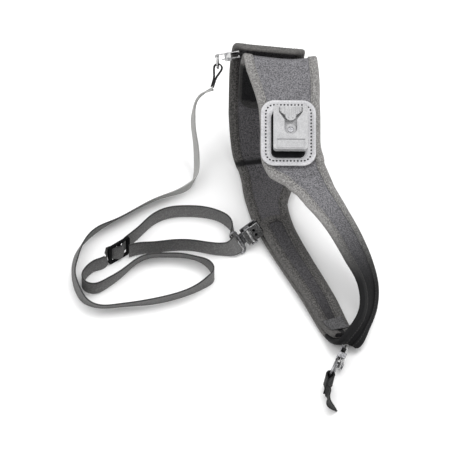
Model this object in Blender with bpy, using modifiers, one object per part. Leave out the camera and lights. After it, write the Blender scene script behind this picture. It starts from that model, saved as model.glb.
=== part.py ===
"""One-shoulder load harness: a padded loop, a quick-release dock, three metal clips and a webbing chest strap.

The loop stands on a surface as a soft arch. Its route starts at the tail that lies inside the back panel,
climbs over the crest, runs down the front, turns under at the lower end, comes back along the surface,
rises up the back and ends in the flap over the crest. Units are metres and +Z is up. +X is the wearer's
outer side, and the lower end of the loop points to -Y.
"""

import math
from collections import namedtuple

import bmesh
import bpy
import numpy as np
from mathutils import Matrix, Vector

MM = 0.001
GAP = 0.3 * MM

# Padded loop.
LOOP_LENGTH = 300 * MM
LOOP_HEIGHT = 149 * MM
CREST_WIDTH = 76 * MM
PAD_WIDTH = 61 * MM
STRAP_WIDTH = 36 * MM
PANEL_THICKNESS = 4.0 * MM
TAPE_THICKNESS = 0.7 * MM
TAPE_REACH = 8.5 * MM
TAPE_CLEARANCE = 0.5 * MM
LAYER_CLEARANCE = 0.5 * MM
END_RADIUS = 14 * MM
TAB_LIFT = 3.0 * MM
TAB_INSET_LEFT = 3.0 * MM
TAB_INSET_RIGHT = 4.0 * MM
LOBE_OVERLAP = 12 * MM
JOINT_FROM_STATION = 6 * MM
JOINT_GAP = 1.0 * MM
TAB_FROM_STATION = 13 * MM

# Patches sewn to the panels.
PATCH_THICKNESS = 1.0 * MM
PATCH_CLEARANCE = 1.1 * MM
LINING_LENGTH = 38 * MM
LINING_START = 10 * MM
LINING_MARGIN = 2.5 * MM
KEEPER_LENGTH = 21 * MM
KEEPER_START = -2 * MM
KEEPER_MARGIN = 2.0 * MM

# Dock on the front pad.
DOCK_SIDE_SHIFT = -1.8 * MM
FLANGE_WIDTH = 57.5 * MM
FLANGE_LENGTH = 71.0 * MM
FLANGE_OFFSET = -2.0 * MM
FLANGE_THICKNESS = 1.8 * MM
FLANGE_RADIUS = 14 * MM
FLANGE_LIFT = 2.2 * MM
BASE_WIDTH = 35.4 * MM
BASE_LENGTH = 48.8 * MM
BASE_THICKNESS = 5.0 * MM
BASE_OFFSET = -5.2 * MM
BASE_SIDE_OFFSET = -2.4 * MM
BODY_WIDTH = 36 * MM
BODY_LENGTH = 48 * MM
BODY_THICKNESS = 9.0 * MM
BODY_RADIUS = 3.0 * MM
BODY_SIDE_SHIFT = 2.0 * MM
BODY_RISE = 0.2 * MM
POCKET_DEPTH = 7.0 * MM
MOUTH_WIDTH = 24.6 * MM
NECK_WIDTH = 13.2 * MM
NECK_START = 8.0 * MM
SEAT_BELOW_CENTRE = 1.6 * MM
LIP_THICKNESS = 2.2 * MM
UNDERCUT = 2.4 * MM
UNDERCUT_HEIGHT = 2.6 * MM
BAR_WIDTH = 29 * MM
BAR_LENGTH = 9.0 * MM
BAR_HEIGHT = 0.8 * MM
BAR_EDGE = 0.9 * MM
BAR_GROOVE = 1.1 * MM
BAR_GROOVE_DEPTH = 1.2 * MM
SEAT_HEIGHT = 1.6 * MM
SEAT_HOLE_RADIUS = 3.3 * MM
SCREW_RADIUS = 2.8 * MM
SCREW_HEIGHT = 1.4 * MM

# Release lever in the dock.
LEVER_LENGTH = 15.8 * MM
LEVER_THICKNESS = 2.0 * MM
LEVER_SINK = 1.0 * MM
LEVER_SIDE_CLEARANCE = 0.8 * MM
LEVER_END_CLEARANCE = 1.2 * MM
RIB_COUNT = 6
RIB_WIDTH = 1.4 * MM
RIB_HEIGHT = 1.0 * MM
RIB_LENGTH = 12.0 * MM
RIB_MARGIN = 0.4 * MM
LEVER_PIN_RADIUS = 0.8 * MM
LEVER_PIN_INSET = 3.0 * MM
PIN_CLEARANCE = 0.15 * MM
SPRING_WIDTH = 5.0 * MM
SPRING_LENGTH = 8.0 * MM
SPRING_THICKNESS = 0.4 * MM

# Suspender-type clip, in its own frame: x from the bail hinge to the jaws, y across, z towards the lever.
CLIP_WIDTH = 20 * MM
CLIP_LENGTH = 24 * MM
CLIP_PLATE = 1.2 * MM
CLIP_EAR_START = 8.0 * MM
CLIP_EAR_LENGTH = 7.0 * MM
CLIP_PIN_HEIGHT = 5.2 * MM
CLIP_PIN_RADIUS = 1.0 * MM
CLIP_LEVER_CLEARANCE = 0.4 * MM
CLIP_LEVER_START = 4.5 * MM
JAW_GAP = 2.2 * MM
JAW_TEETH = 6
JAW_TOOTH_DEPTH = 0.8 * MM
JAW_LENGTH = 1.6 * MM
JAW_INSET = 2.2 * MM
GRIP_HOLE_RADIUS = 1.7 * MM
GRIP_HOLE_SPACING = 6.0 * MM
PAD_INSERT_LENGTH = 6.0 * MM
PAD_INSERT_THICKNESS = 0.9 * MM
WIRE_RADIUS = 1.1 * MM
KNUCKLE_WALL = 0.9 * MM
KNUCKLE_WIDTH = 12 * MM
BAIL_WIDTH = 26.4 * MM

# Webbing.
WEBBING_WIDTH = 20 * MM
WEBBING_THICKNESS = 1.5 * MM
CLIP_TAB_LENGTH = 7.5 * MM
CLIP_TAB_BITE = 6.0 * MM
RING_RADIUS = 3.4 * MM

# Tri-glide.
GLIDE_LENGTH = 27 * MM
GLIDE_HEIGHT = 27 * MM
GLIDE_THICKNESS = 2.6 * MM
GLIDE_BAR = 3.6 * MM
GLIDE_SLOT_HEIGHT = 21.4 * MM
GLIDE_EDGE = 0.6 * MM

# Centre of the footprint of the loop and the clips, in the coordinates of the routes below.
ORIGIN = Vector((-5.4, -18.0, 0.0)) * MM

MATERIALS = {
    "pad_fabric": ((0.150, 0.150, 0.158), 0.85, 0.0),
    "binding_tape": ((0.175, 0.170, 0.165), 0.80, 0.0),
    "lining": ((0.020, 0.020, 0.023), 0.90, 0.0),
    "webbing": ((0.095, 0.095, 0.100), 0.75, 0.0),
    "dock_flange": ((0.560, 0.560, 0.575), 0.60, 0.0),
    "dock_moulding": ((0.530, 0.530, 0.540), 0.45, 0.0),
    "dark_plastic": ((0.022, 0.022, 0.024), 0.40, 0.0),
    "bright_metal": ((0.800, 0.800, 0.810), 0.20, 1.0),
    "spring_steel": ((0.450, 0.450, 0.460), 0.30, 1.0),
}

# One station of the loop's route: place, sideways direction, width zone, and the half widths left and right.
Station = namedtuple("Station", "place side zone left right")

# Places are in millimetres for a loop 300 long and 149 high, heights counted from the lying strap.
DRAWN_LENGTH, DRAWN_HEIGHT = 300, 149
LYING_STATION_HEIGHT = 7
LOOP_ROUTE = (
    Station((-24, 143, 78), (1, 0.00, -0.05), "crest", 40, 37),
    Station((-24, 155, 110), (1, -0.03, -0.08), "crest", 39, 38),
    Station((-23, 156.5, 132), (1, -0.05, -0.08), "crest", 38, 38),
    Station((-21, 150.5, 143.5), (1, -0.06, -0.09), "crest", 38, 38),
    Station((-18, 139, 142.5), (1, -0.03, -0.07), "crest", 36, 36),
    Station((-12, 105, 126.5), (1, 0.05, 0.00), "pad", 31, 31),
    Station((-11, 77, 113.3), (1, 0.05, 0.00), "pad", 30, 30.5),
    Station((-9, 54, 102.5), (1, 0.05, 0.00), "pad", 31, 30.5),
    Station((-5, 44.5, 97), (1, 0.05, -0.04), "pad", 29, 30),
    Station((0, 36, 91.5), (1, 0.06, -0.08), "strap", 18, 28.5),
    Station((8, 28, 86), (1, 0.12, -0.14), "strap", 15.5, 26),
    Station((19, 17, 80), (0.92, 0.25, -0.30), "strap", 18, 22),
    Station((38, -3, 66), (0.78, 0.38, -0.45), "strap", 18.5, 19),
    Station((60, -38, 45), (0.68, 0.42, -0.55), "strap", 18.5, 18.5),
    Station((69, -61, 35), (0.58, 0.35, -0.70), "strap", 17, 17),
    Station((70, -83, 28), (0.50, 0.30, -0.80), "strap", 14.5, 14.5),
    Station((64, -106, 23), (0.50, 0.25, -0.78), "strap", 12.5, 11),
    Station((50, -126, 17), (0.75, 0.15, -0.40), "strap", 13, 11),
    Station((40, -112, 9), (0.88, 0.30, -0.15), "strap", 13, 15),
    Station((22, -70, 7), (0.88, 0.42, -0.08), "strap", 15, 17),
    Station((-8, -7, 7), (0.88, 0.42, -0.05), "strap", 16, 18),
    Station((-24, 31, 7), (0.92, 0.36, -0.05), "strap", 18, 18),
    Station((-34, 66, 7), (0.96, 0.20, 0.00), "strap", 20, 20),
    Station((-35, 97, 7), (1, 0.08, 0.00), "strap", 25, 28),
    Station((-34, 119, 8.5), (1, 0.04, 0.00), "crest", 31, 36),
    Station((-36, 130, 21), (1, 0.02, 0.00), "crest", 34, 37),
    Station((-37, 148, 62), (1, 0.00, -0.03), "crest", 37, 38),
    Station((-36, 167, 108), (1, -0.03, -0.06), "crest", 37, 38),
    Station((-34, 171, 136), (1, -0.05, -0.08), "crest", 36, 38),
    Station((-32, 157, 152.5), (1, -0.06, -0.09), "crest", 34, 37),
)
DOCK_STATION = 6
LAID_STATION = 18
TAB_STATION = 21

# The chest strap's route in millimetres: place, and the direction that its width leans to. A place with no
# height stands with its lower edge on the surface.
UPRIGHT = (0, -0.05, 1)
CHEST_ROUTE = (
    ((-93.3, 130.1, 118.2), (0, -0.643, 0.766)),
    ((-96.0, 130.0, 116.5), (0, -0.64, 0.77)),
    ((-100.5, 132.6, 110), (0, -0.66, 0.75)),
    ((-107, 134.6, 98), (0, -0.70, 0.71)),
    ((-110.8, 133.2, 80), (0.10, -0.75, 0.65)),
    ((-111.8, 131.2, 60), (0.20, -0.80, 0.55)),
    ((-109.7, 127, 38), (0.25, -0.80, 0.50)),
    ((-108.5, 118, 19), (0.25, -0.65, 0.66)),
    ((-109.5, 105, None), (0.25, -0.30, 0.90)),
    ((-114, 93, None), (0.25, -0.15, 0.95)),
    ((-127.5, 83, None), (0.10, -0.40, 0.90)),
    ((-145, 76, None), (0, -0.55, 0.83)),
    ((-166, 64, None), (0, -0.60, 0.80)),
    ((-196, 43, None), (0, -0.60, 0.80)),
    ((-215, 28, None), (0.10, -0.35, 0.92)),
    ((-231, 4, None), (0.36, -0.10, 0.92)),
    ((-235.5, -17, None), (0.30, 0, 0.95)),
    ((-236, -34, None), (0.12, 0, 1)),
    ((-232, -51, None), (0.10, -0.10, 1)),
    ((-223, -66, None), (0.10, -0.40, 0.9)),
    ((-210, -73, None), (0, -0.50, 0.87)),
    ((-189, -72, None), (0, -0.50, 0.87)),
    ((-173, -70, None), (0, -0.46, 0.89)),
    ((-153.5, -67, None), (0, -0.38, 0.93)),
    ((-132.5, -61, None), (0, -0.36, 0.93)),
    ((-111, -51, None), (0, -0.32, 0.95)),
    ((-97.5, -41, None), (0, -0.15, 1)),
    ((-90.5, -31, None), (0, 0, 1)),
    ((-93, -22, None), (0, -0.1, 1)),
    ((-104.5, -11, None), (0, -0.42, 0.91)),
    ((-121, -5, None), (0, -0.46, 0.89)),
    ((-140, -4, None), (0, -0.46, 0.89)),
    ((-156, -5, None), (0, -0.46, 0.89)),
    ((-167.5, -10, None), (0, -0.44, 0.90)),
    ((-179, -21, None), (0, -0.40, 0.92)),
    ((-190, -33, None), (0, -0.28, 0.96)),
    ((-203, -44, None), (0, -0.15, 1)),
    ((-214, -50, None), (0, -0.10, 1)),
    ((-224, -47, None), (0, -0.10, 1)),
    ((-227.5, -39, None), (0, -0.05, 1)),
    ((-224, -29, None), UPRIGHT),
    ((-213, -18.5, None), UPRIGHT),
    ((-202.5, -9.5, None), (0, 0, 1)),
)
# Over the tri-glide: distances along it and off its plane, in millimetres.
GLIDE_CENTRE = (-189.5, -1.0)
GLIDE_HEADING = (0.79, 0.61)
GLIDE_WEAVE = ((-13, 4.2), (-9, 3.2), (-5, -0.3), (0, -3.3), (5, -0.3), (9, 3.2), (13, 4.2))
GLIDE_STRAP_HEIGHT = 14.0
LOOP_RUN_ROUTE = (
    ((-168.5, 27, None), UPRIGHT),
    ((-157.5, 40.5, None), UPRIGHT),
    ((-146, 49.5, None), UPRIGHT),
    ((-135.5, 53.5, None), UPRIGHT),
    ((-119, 55, None), UPRIGHT),
    ((-98, 53, None), UPRIGHT),
    ((-83, 47, None), UPRIGHT),
    ((-74, 38, 11.8), (-0.05, 0.10, 1)),
    ((-69.4, 25, 11.8), (-0.25, 0.20, 0.95)),
    ((-68.5, 15.2, 11.0), (-0.44, 0.27, 0.86)),
    ((-66.8, 11.9, 12.1), (-0.47, 0.29, 0.83)),
    ((-65.6, 9.1, 13.8), (-0.47, 0.29, 0.83)),
    ((-66.8, 6.1, 14.2), (-0.47, 0.29, 0.83)),
    ((-71.0, 3.2, 13.0), (-0.40, 0.22, 0.88)),
    ((-80, 3.0, None), (0, 0.05, 1)),
    ((-92, 4.0, None), (0, 0, 1)),
    ((-111, 8, None), UPRIGHT),
    ((-132.5, 8.5, None), UPRIGHT),
    ((-155, 5.5, None), UPRIGHT),
    ((-172, 3.2, None), (0, 0, 1)),
    ((-179, 0.6, None), (0, 0, 1)),
)
LEG_STRAP_ROUTE = (
    ((28.2, -190.5, None), (0.15, -0.15, 0.97)),
    ((27.7, -196, None), (0.15, -0.20, 0.95)),
    ((29.4, -203, None), (0.10, -0.35, 0.93)),
    ((34.7, -209, None), (0, -0.50, 0.86)),
)

# Clips: name, the station that each keeps its place to, bail hinge, direction to the jaws, direction of the
# width, bail length, bail swing in degrees. They are drawn for a clip 20 wide, and a wider one keeps its
# lower edge's place.
Clip = namedtuple("Clip", "name station place towards across bail swing")
DRAWN_CLIP_WIDTH = 20 * MM
LOWER_CLIP_STATION = 17
CLIPS = (
    Clip("crest", 3, (-87.0, 157.0, 140.9), (0.985, 0.10, 0.13), (-0.02, -0.64, 0.77), 12, 85),
    Clip("side", 21, (-62.6, 12.0, 14.5), (0.80, 0.54, 0.27), (-0.28, 0.40, 0.87), 7, 0),
    Clip("lower", LOWER_CLIP_STATION, (34.4, -159.3, 14.9), (0.36, 0.93, 0.02), (0.14, -0.06, 0.98), 16, 0),
)

model = bpy.data.collections.new("shoulder_harness")


def clear_scene():
    """Removes whatever the file holds and links the model's collection."""
    for thing in list(bpy.data.objects):
        bpy.data.objects.remove(thing, do_unlink=True)
    bpy.context.scene.collection.children.link(model)


def make_material(name):
    """A Principled material with the colour, roughness and metallic value of the table."""
    colour, roughness, metallic = MATERIALS[name]
    material = bpy.data.materials.get(name)
    if material is None:
        material = bpy.data.materials.new(name)
        material.use_nodes = True
        shader = material.node_tree.nodes["Principled BSDF"]
        shader.inputs["Base Color"].default_value = (*colour, 1.0)
        shader.inputs["Roughness"].default_value = roughness
        shader.inputs["Metallic"].default_value = metallic
    return material


def add_object(name, mesh, material):
    """A linked object with its material."""
    thing = bpy.data.objects.new(name, mesh)
    model.objects.link(thing)
    mesh.materials.clear()
    mesh.materials.append(make_material(material))
    return thing


def mesh_from_bmesh(name, shape):
    """Closes a bmesh into mesh data with its faces pointing out."""
    bmesh.ops.recalc_face_normals(shape, faces=shape.faces)
    if shape.calc_volume(signed=True) < 0:
        bmesh.ops.reverse_faces(shape, faces=shape.faces)
    mesh = bpy.data.meshes.new(name)
    shape.to_mesh(mesh)
    shape.free()
    return mesh


def evaluated_mesh(thing):
    """The mesh that an object's modifiers make."""
    graph = bpy.context.evaluated_depsgraph_get()
    graph.update()
    return bpy.data.meshes.new_from_object(thing.evaluated_get(graph))


def bake(thing):
    """Replaces an object's mesh by what its modifiers make."""
    mesh = evaluated_mesh(thing)
    thing.modifiers.clear()
    thing.data = mesh
    return thing


def combine(target, tool, operation):
    """Unites the target with a tool body, or cuts it, and removes the tool."""
    boolean = target.modifiers.new(operation.lower(), "BOOLEAN")
    boolean.operation = operation
    boolean.object = tool
    bake(target)
    bpy.data.objects.remove(tool, do_unlink=True)
    return target


def block(name, low, high, material="bright_metal", bevel=0.0, segments=2):
    """A box between two corners, with rounded edges where a bevel is given."""
    shape = bmesh.new()
    bmesh.ops.create_cube(shape, size=1.0)
    low, high = Vector(low), Vector(high)
    for vertex in shape.verts:
        vertex.co = Vector(low[i] + (vertex.co[i] + 0.5) * (high[i] - low[i]) for i in range(3))
    thing = add_object(name, mesh_from_bmesh(name, shape), material)
    if bevel:
        rounding = thing.modifiers.new("rounding", "BEVEL")
        rounding.width = bevel
        rounding.segments = segments
        bake(thing)
    return thing


def rod(name, radius, start, end, material="bright_metal", sides=12):
    """A cylinder between two points."""
    start, end = Vector(start), Vector(end)
    shape = bmesh.new()
    bmesh.ops.create_cone(
        shape, cap_ends=True, segments=sides, radius1=radius, radius2=radius, depth=(end - start).length
    )
    turn = (end - start).to_track_quat("Z", "X").to_matrix().to_4x4()
    shape.transform(Matrix.Translation((start + end) / 2) @ turn)
    return add_object(name, mesh_from_bmesh(name, shape), material)


def slab(name, outlines, bottom, top, material):
    """A flat outline, with any further outlines as holes, filled and raised between two heights."""
    curve = bpy.data.curves.new(name, "CURVE")
    curve.dimensions = "2D"
    curve.fill_mode = "BOTH"
    curve.extrude = (top - bottom) / 2
    for outline in outlines:
        spline = curve.splines.new("POLY")
        spline.points.add(len(outline) - 1)
        for point, (x, y) in zip(spline.points, outline):
            point.co = (x, y, 0, 1)
        spline.use_cyclic_u = True
    guide = bpy.data.objects.new(name, curve)
    model.objects.link(guide)
    mesh = evaluated_mesh(guide)
    bpy.data.objects.remove(guide, do_unlink=True)
    shape = bmesh.new()
    shape.from_mesh(mesh)
    bmesh.ops.remove_doubles(shape, verts=shape.verts, dist=0.001 * MM)
    shape.transform(Matrix.Translation((0, 0, (top + bottom) / 2)))
    return add_object(name, mesh_from_bmesh(name, shape), material)


def rounded_rectangle(width, length, radius, centre=(0, 0), steps=5):
    """The outline of a rectangle with round corners."""
    points = []
    corners = ((1, 1, 0), (-1, 1, 90), (-1, -1, 180), (1, -1, 270))
    for across, along, first in corners:
        x = centre[0] + across * (width / 2 - radius)
        y = centre[1] + along * (length / 2 - radius)
        for step in range(steps + 1):
            angle = math.radians(first + 90 * step / steps)
            points.append((x + radius * math.cos(angle), y + radius * math.sin(angle)))
    return points


def soften(thing, width, segments=2, angle=40):
    """Rounds the sharp edges of a slab."""
    rounding = thing.modifiers.new("rounding", "BEVEL")
    rounding.width = width
    rounding.segments = segments
    rounding.limit_method = "ANGLE"
    rounding.angle_limit = math.radians(angle)
    return bake(thing)


def smooth(thing, angle=35):
    """Smooth shading with sharp edges kept."""
    thing.data.shade_smooth()
    thing.data.set_sharp_from_angle(angle=math.radians(angle))
    return thing


def empty(name, matrix, parent=None):
    """A frame that pieces are placed in."""
    thing = bpy.data.objects.new(name, None)
    model.objects.link(thing)
    thing.parent = parent
    thing.matrix_local = matrix
    return thing


def put_in(parent, thing, pivot=(0, 0, 0)):
    """Places a piece that is drawn in its parent's frame, with its origin on a pivot."""
    thing.data.transform(Matrix.Translation(-Vector(pivot)))
    thing.parent = parent
    thing.matrix_local = Matrix.Translation(Vector(pivot))
    return smooth(thing)


def natural_spline(knots, samples):
    """A natural cubic spline through rows of numbers, spaced by the distance of their first three."""
    rows = np.asarray(knots, float)
    at = np.concatenate([[0], np.cumsum(np.linalg.norm(np.diff(rows[:, :3], axis=0), axis=1))])
    gaps = np.diff(at)
    count = len(rows)
    system = np.zeros((count, count))
    target = np.zeros_like(rows)
    system[0, 0] = system[-1, -1] = 1
    for i in range(1, count - 1):
        system[i, i - 1 : i + 2] = gaps[i - 1], 2 * (gaps[i - 1] + gaps[i]), gaps[i]
        target[i] = 6 * ((rows[i + 1] - rows[i]) / gaps[i] - (rows[i] - rows[i - 1]) / gaps[i - 1])
    bend = np.linalg.solve(system, target)
    where = np.linspace(0, at[-1], samples)
    k = np.clip(np.searchsorted(at, where, side="right") - 1, 0, count - 2)
    before, after, gap = (at[k + 1] - where)[:, None], (where - at[k])[:, None], gaps[k][:, None]
    curve = (bend[k] * before**3 + bend[k + 1] * after**3) / (6 * gap)
    curve += (rows[k] / gap - bend[k] * gap / 6) * before
    curve += (rows[k + 1] / gap - bend[k + 1] * gap / 6) * after
    return curve, where, at


def unit(vectors):
    """Rows scaled to length one."""
    return vectors / np.linalg.norm(vectors, axis=1)[:, None]


class Band:
    """A smooth route with a sideways direction, read by the distance along it."""

    def __init__(self, places, sides, lefts=None, rights=None, samples=2400):
        curve, where, at = natural_spline([(*p, *s) for p, s in zip(places, sides)], samples)
        self.points = curve[:, :3]
        steps = np.linalg.norm(np.diff(self.points, axis=0), axis=1)
        self.along = np.concatenate([[0], np.cumsum(steps)])
        self.length = self.along[-1]
        self.tangents = unit(np.gradient(self.points, axis=0))
        sides = curve[:, 3:]
        sides = sides - (sides * self.tangents).sum(1)[:, None] * self.tangents
        self.sides = unit(sides)
        self.normals = np.cross(self.tangents, self.sides)
        self.stations = np.interp(at, where, self.along)
        if lefts is not None:
            self.lefts = np.interp(where, at, lefts)
            self.rights = np.interp(where, at, rights)

    def read(self, rows, distance):
        """A quantity at a distance along the route."""
        return np.array([np.interp(distance, self.along, rows[:, i]) for i in range(3)])

    def frame(self, distance):
        """The point, tangent, side and outward normal at a distance."""
        return [Vector(self.read(rows, distance)) for rows in (self.points, self.tangents, self.sides, self.normals)]

    def halves(self, distance):
        """The half widths left and right at a distance."""
        return tuple(float(np.interp(distance, self.along, rows)) for rows in (self.lefts, self.rights))

    def samples(self, start, end, longest, turn):
        """Distances from start to end, closer where the band bends or twists."""
        limit = math.cos(math.radians(turn))
        chosen = [start]
        for distance in self.along[(self.along > start) & (self.along < end)]:
            here, last = self.frame(distance), self.frame(chosen[-1])
            turned = min(here[1].normalized().dot(last[1].normalized()), here[2].normalized().dot(last[2].normalized()))
            if distance - chosen[-1] > longest or turned < limit:
                chosen.append(float(distance))
        if end - chosen[-1] < 0.3 * longest and len(chosen) > 1:
            chosen.pop()
        return chosen + [end]


def smoothstep(value, start, end):
    """0 before start, 1 after end, and a smooth climb between."""
    share = min(max((value - start) / (end - start), 0.0), 1.0)
    return share * share * (3 - 2 * share)


class Panel:
    """One padded layer of the loop: a stretch of the route with an offset, square at first and round at last."""

    def __init__(self, band, start, end, offset, narrow=(0.0, 0.0)):
        self.band, self.start, self.end, self.offset, self.narrow = band, start, end, offset, narrow
        self.sign = 1 if end > start else -1

    def rows(self):
        """Distances of the cross rows, with close rows round the end's corners."""
        low, high = sorted((self.start, self.end - self.sign * END_RADIUS))
        rows = self.band.samples(low, high, 18 * MM, 8.5)
        if self.sign < 0:
            rows = rows[::-1]
        corner = [self.end - self.sign * END_RADIUS * (1 - math.sin(math.radians(a))) for a in (20, 40, 60, 75, 90)]
        return rows + corner

    def half(self, distance, hand):
        """The half width on a hand, -1 left or 1 right, rounded in at the end."""
        width = self.band.halves(distance)[0 if hand < 0 else 1] - self.narrow[0 if hand < 0 else 1]
        left_over = END_RADIUS - abs(self.end - distance)
        if left_over > 0:
            width -= END_RADIUS - math.sqrt(max(END_RADIUS**2 - left_over**2, 0))
        return width

    def point(self, distance, across, lift=0.0):
        """A point of the layer's middle surface, or above it, carried straight on past the ends of the route."""
        inside = min(max(distance, 0.0), self.band.length)
        place, tangent, side, normal = self.band.frame(inside)
        return place + tangent * (distance - inside) + side * across + normal * (self.offset(distance) + lift)

    def sheet(self, name, rows, columns, thickness, material, lift=0.0):
        """A closed sheet over the given rows, with the columns that each row has."""
        shape = bmesh.new()
        rings = []
        for row in rows:
            upper = [self.point(row, across, lift + thickness / 2) for across in columns(row)]
            lower = [self.point(row, across, lift - thickness / 2) for across in columns(row)]
            rings.append([shape.verts.new(spot) for spot in upper + lower[::-1]])
        close_rings(shape, rings)
        return smooth(add_object(name, mesh_from_bmesh(name, shape), material))

    def body(self, name, material):
        """The padded layer itself."""

        def columns(row):
            left, right = self.half(row, -1), self.half(row, 1)
            inset = min(TAPE_REACH, 0.45 * (left + right))
            return (-left, -left + inset, right - inset, right)

        return self.sheet(name, self.rows(), columns, PANEL_THICKNESS, material)

    def binding(self, name, material):
        """The tape folded round the layer's two long edges and its round end."""
        rows = self.rows()
        edge = [(row, -self.half(row, -1)) for row in rows] + [(row, self.half(row, 1)) for row in reversed(rows)]
        inner = PANEL_THICKNESS / 2 + TAPE_CLEARANCE
        outer = inner + TAPE_THICKNESS
        rim = TAPE_CLEARANCE + TAPE_THICKNESS
        middle = TAPE_REACH / 2
        upper = ((TAPE_REACH, outer), (middle, outer), (-rim, outer))
        hollow = ((TAPE_REACH, -inner), (middle, -inner), (-TAPE_CLEARANCE, -inner))
        profile = upper + tuple((a, -b) for a, b in reversed(upper)) + hollow
        profile += tuple((a, -b) for a, b in reversed(hollow))
        shape = bmesh.new()
        rings = []
        for i, (row, across) in enumerate(edge):
            ahead, behind = edge[min(i + 1, len(edge) - 1)], edge[max(i - 1, 0)]
            inward = Vector((behind[1] - ahead[1], ahead[0] - behind[0])).normalized() * self.sign
            ring = [self.point(row + inward.x * a, across + inward.y * a, b) for a, b in profile]
            rings.append([shape.verts.new(spot) for spot in ring])
        close_rings(shape, rings)
        return smooth(add_object(name, mesh_from_bmesh(name, shape), material))


def close_rings(shape, rings):
    """Joins neighbouring rings of vertices with faces and caps the first and last."""
    for first, second in zip(rings[:-1], rings[1:]):
        for i in range(len(first)):
            j = (i + 1) % len(first)
            shape.faces.new((first[i], first[j], second[j], second[i]))
    shape.faces.new(list(reversed(rings[0])))
    shape.faces.new(rings[-1])


def station_place(index):
    """A station's place at the loop's real size."""
    x, y, z = LOOP_ROUTE[index].place
    height = LYING_HEIGHT + (z - LYING_STATION_HEIGHT) * LOOP_HEIGHT / DRAWN_HEIGHT
    return Vector((x * MM - ORIGIN.x, y * LOOP_LENGTH / DRAWN_LENGTH - ORIGIN.y, height))


def station_shift(index):
    """How far a station has moved from where it is drawn."""
    x, y, z = LOOP_ROUTE[index].place
    drawn = Vector((x * MM - ORIGIN.x, y * MM - ORIGIN.y, LYING_HEIGHT + (z - LYING_STATION_HEIGHT) * MM))
    return station_place(index) - drawn


def loop_band():
    """The loop's route at its real size."""
    zones = {
        "crest": CREST_WIDTH / (76 * MM),
        "pad": PAD_WIDTH / (61 * MM),
        "strap": STRAP_WIDTH / (36 * MM),
    }
    places = [tuple(station_place(index)) for index in range(len(LOOP_ROUTE))]
    lefts = [station.left * MM * zones[station.zone] for station in LOOP_ROUTE]
    rights = [station.right * MM * zones[station.zone] for station in LOOP_ROUTE]
    return Band(places, [station.side for station in LOOP_ROUTE], lefts, rights)


BOUND_THICKNESS = PANEL_THICKNESS + 2 * (TAPE_CLEARANCE + TAPE_THICKNESS)
LAYER_PITCH = BOUND_THICKNESS + LAYER_CLEARANCE
LYING_HEIGHT = BOUND_THICKNESS / 2 + 2.4 * MM


def build_loop(band):
    """The three padded layers with their bindings, the lining patch and the keeper over the layers' joint."""
    laid, tab = band.stations[LAID_STATION], band.stations[TAB_STATION]
    tab_end = tab + TAB_FROM_STATION
    joint = laid + JOINT_FROM_STATION

    def on_route(distance):
        return 0.0

    def under_layer(distance):
        return -LAYER_PITCH - TAB_LIFT * smoothstep(distance, tab_end - 55 * MM, tab_end)

    front = Panel(band, joint, 0.0, on_route)
    underarm = Panel(band, laid - LOBE_OVERLAP, tab_end, under_layer, narrow=(TAB_INSET_LEFT, TAB_INSET_RIGHT))
    back = Panel(band, joint + JOINT_GAP, band.length, on_route)
    for panel, name in ((front, "front"), (underarm, "underarm"), (back, "back")):
        panel.body(f"{name}_panel", "pad_fabric")
        panel.binding(f"{name}_binding", "binding_tape")

    lining_rows = np.linspace(LINING_START, LINING_START + LINING_LENGTH, 7)
    lift = -(BOUND_THICKNESS + PATCH_THICKNESS) / 2 - PATCH_CLEARANCE

    def lining_columns(row):
        return tuple(np.linspace(LINING_MARGIN - band.halves(row)[0], band.halves(row)[1] - LINING_MARGIN, 3))

    front.sheet("hook_lining", list(lining_rows), lining_columns, PATCH_THICKNESS, "lining", lift)

    keeper_rows = np.linspace(laid + KEEPER_START, laid + KEEPER_START + KEEPER_LENGTH, 11)

    def keeper_columns(row):
        return tuple(np.linspace(KEEPER_MARGIN - underarm.half(row, -1), underarm.half(row, 1) - KEEPER_MARGIN, 3))

    underarm.sheet("end_keeper", list(keeper_rows), keeper_columns, PATCH_THICKNESS, "pad_fabric", lift)
    return front, underarm, back


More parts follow.
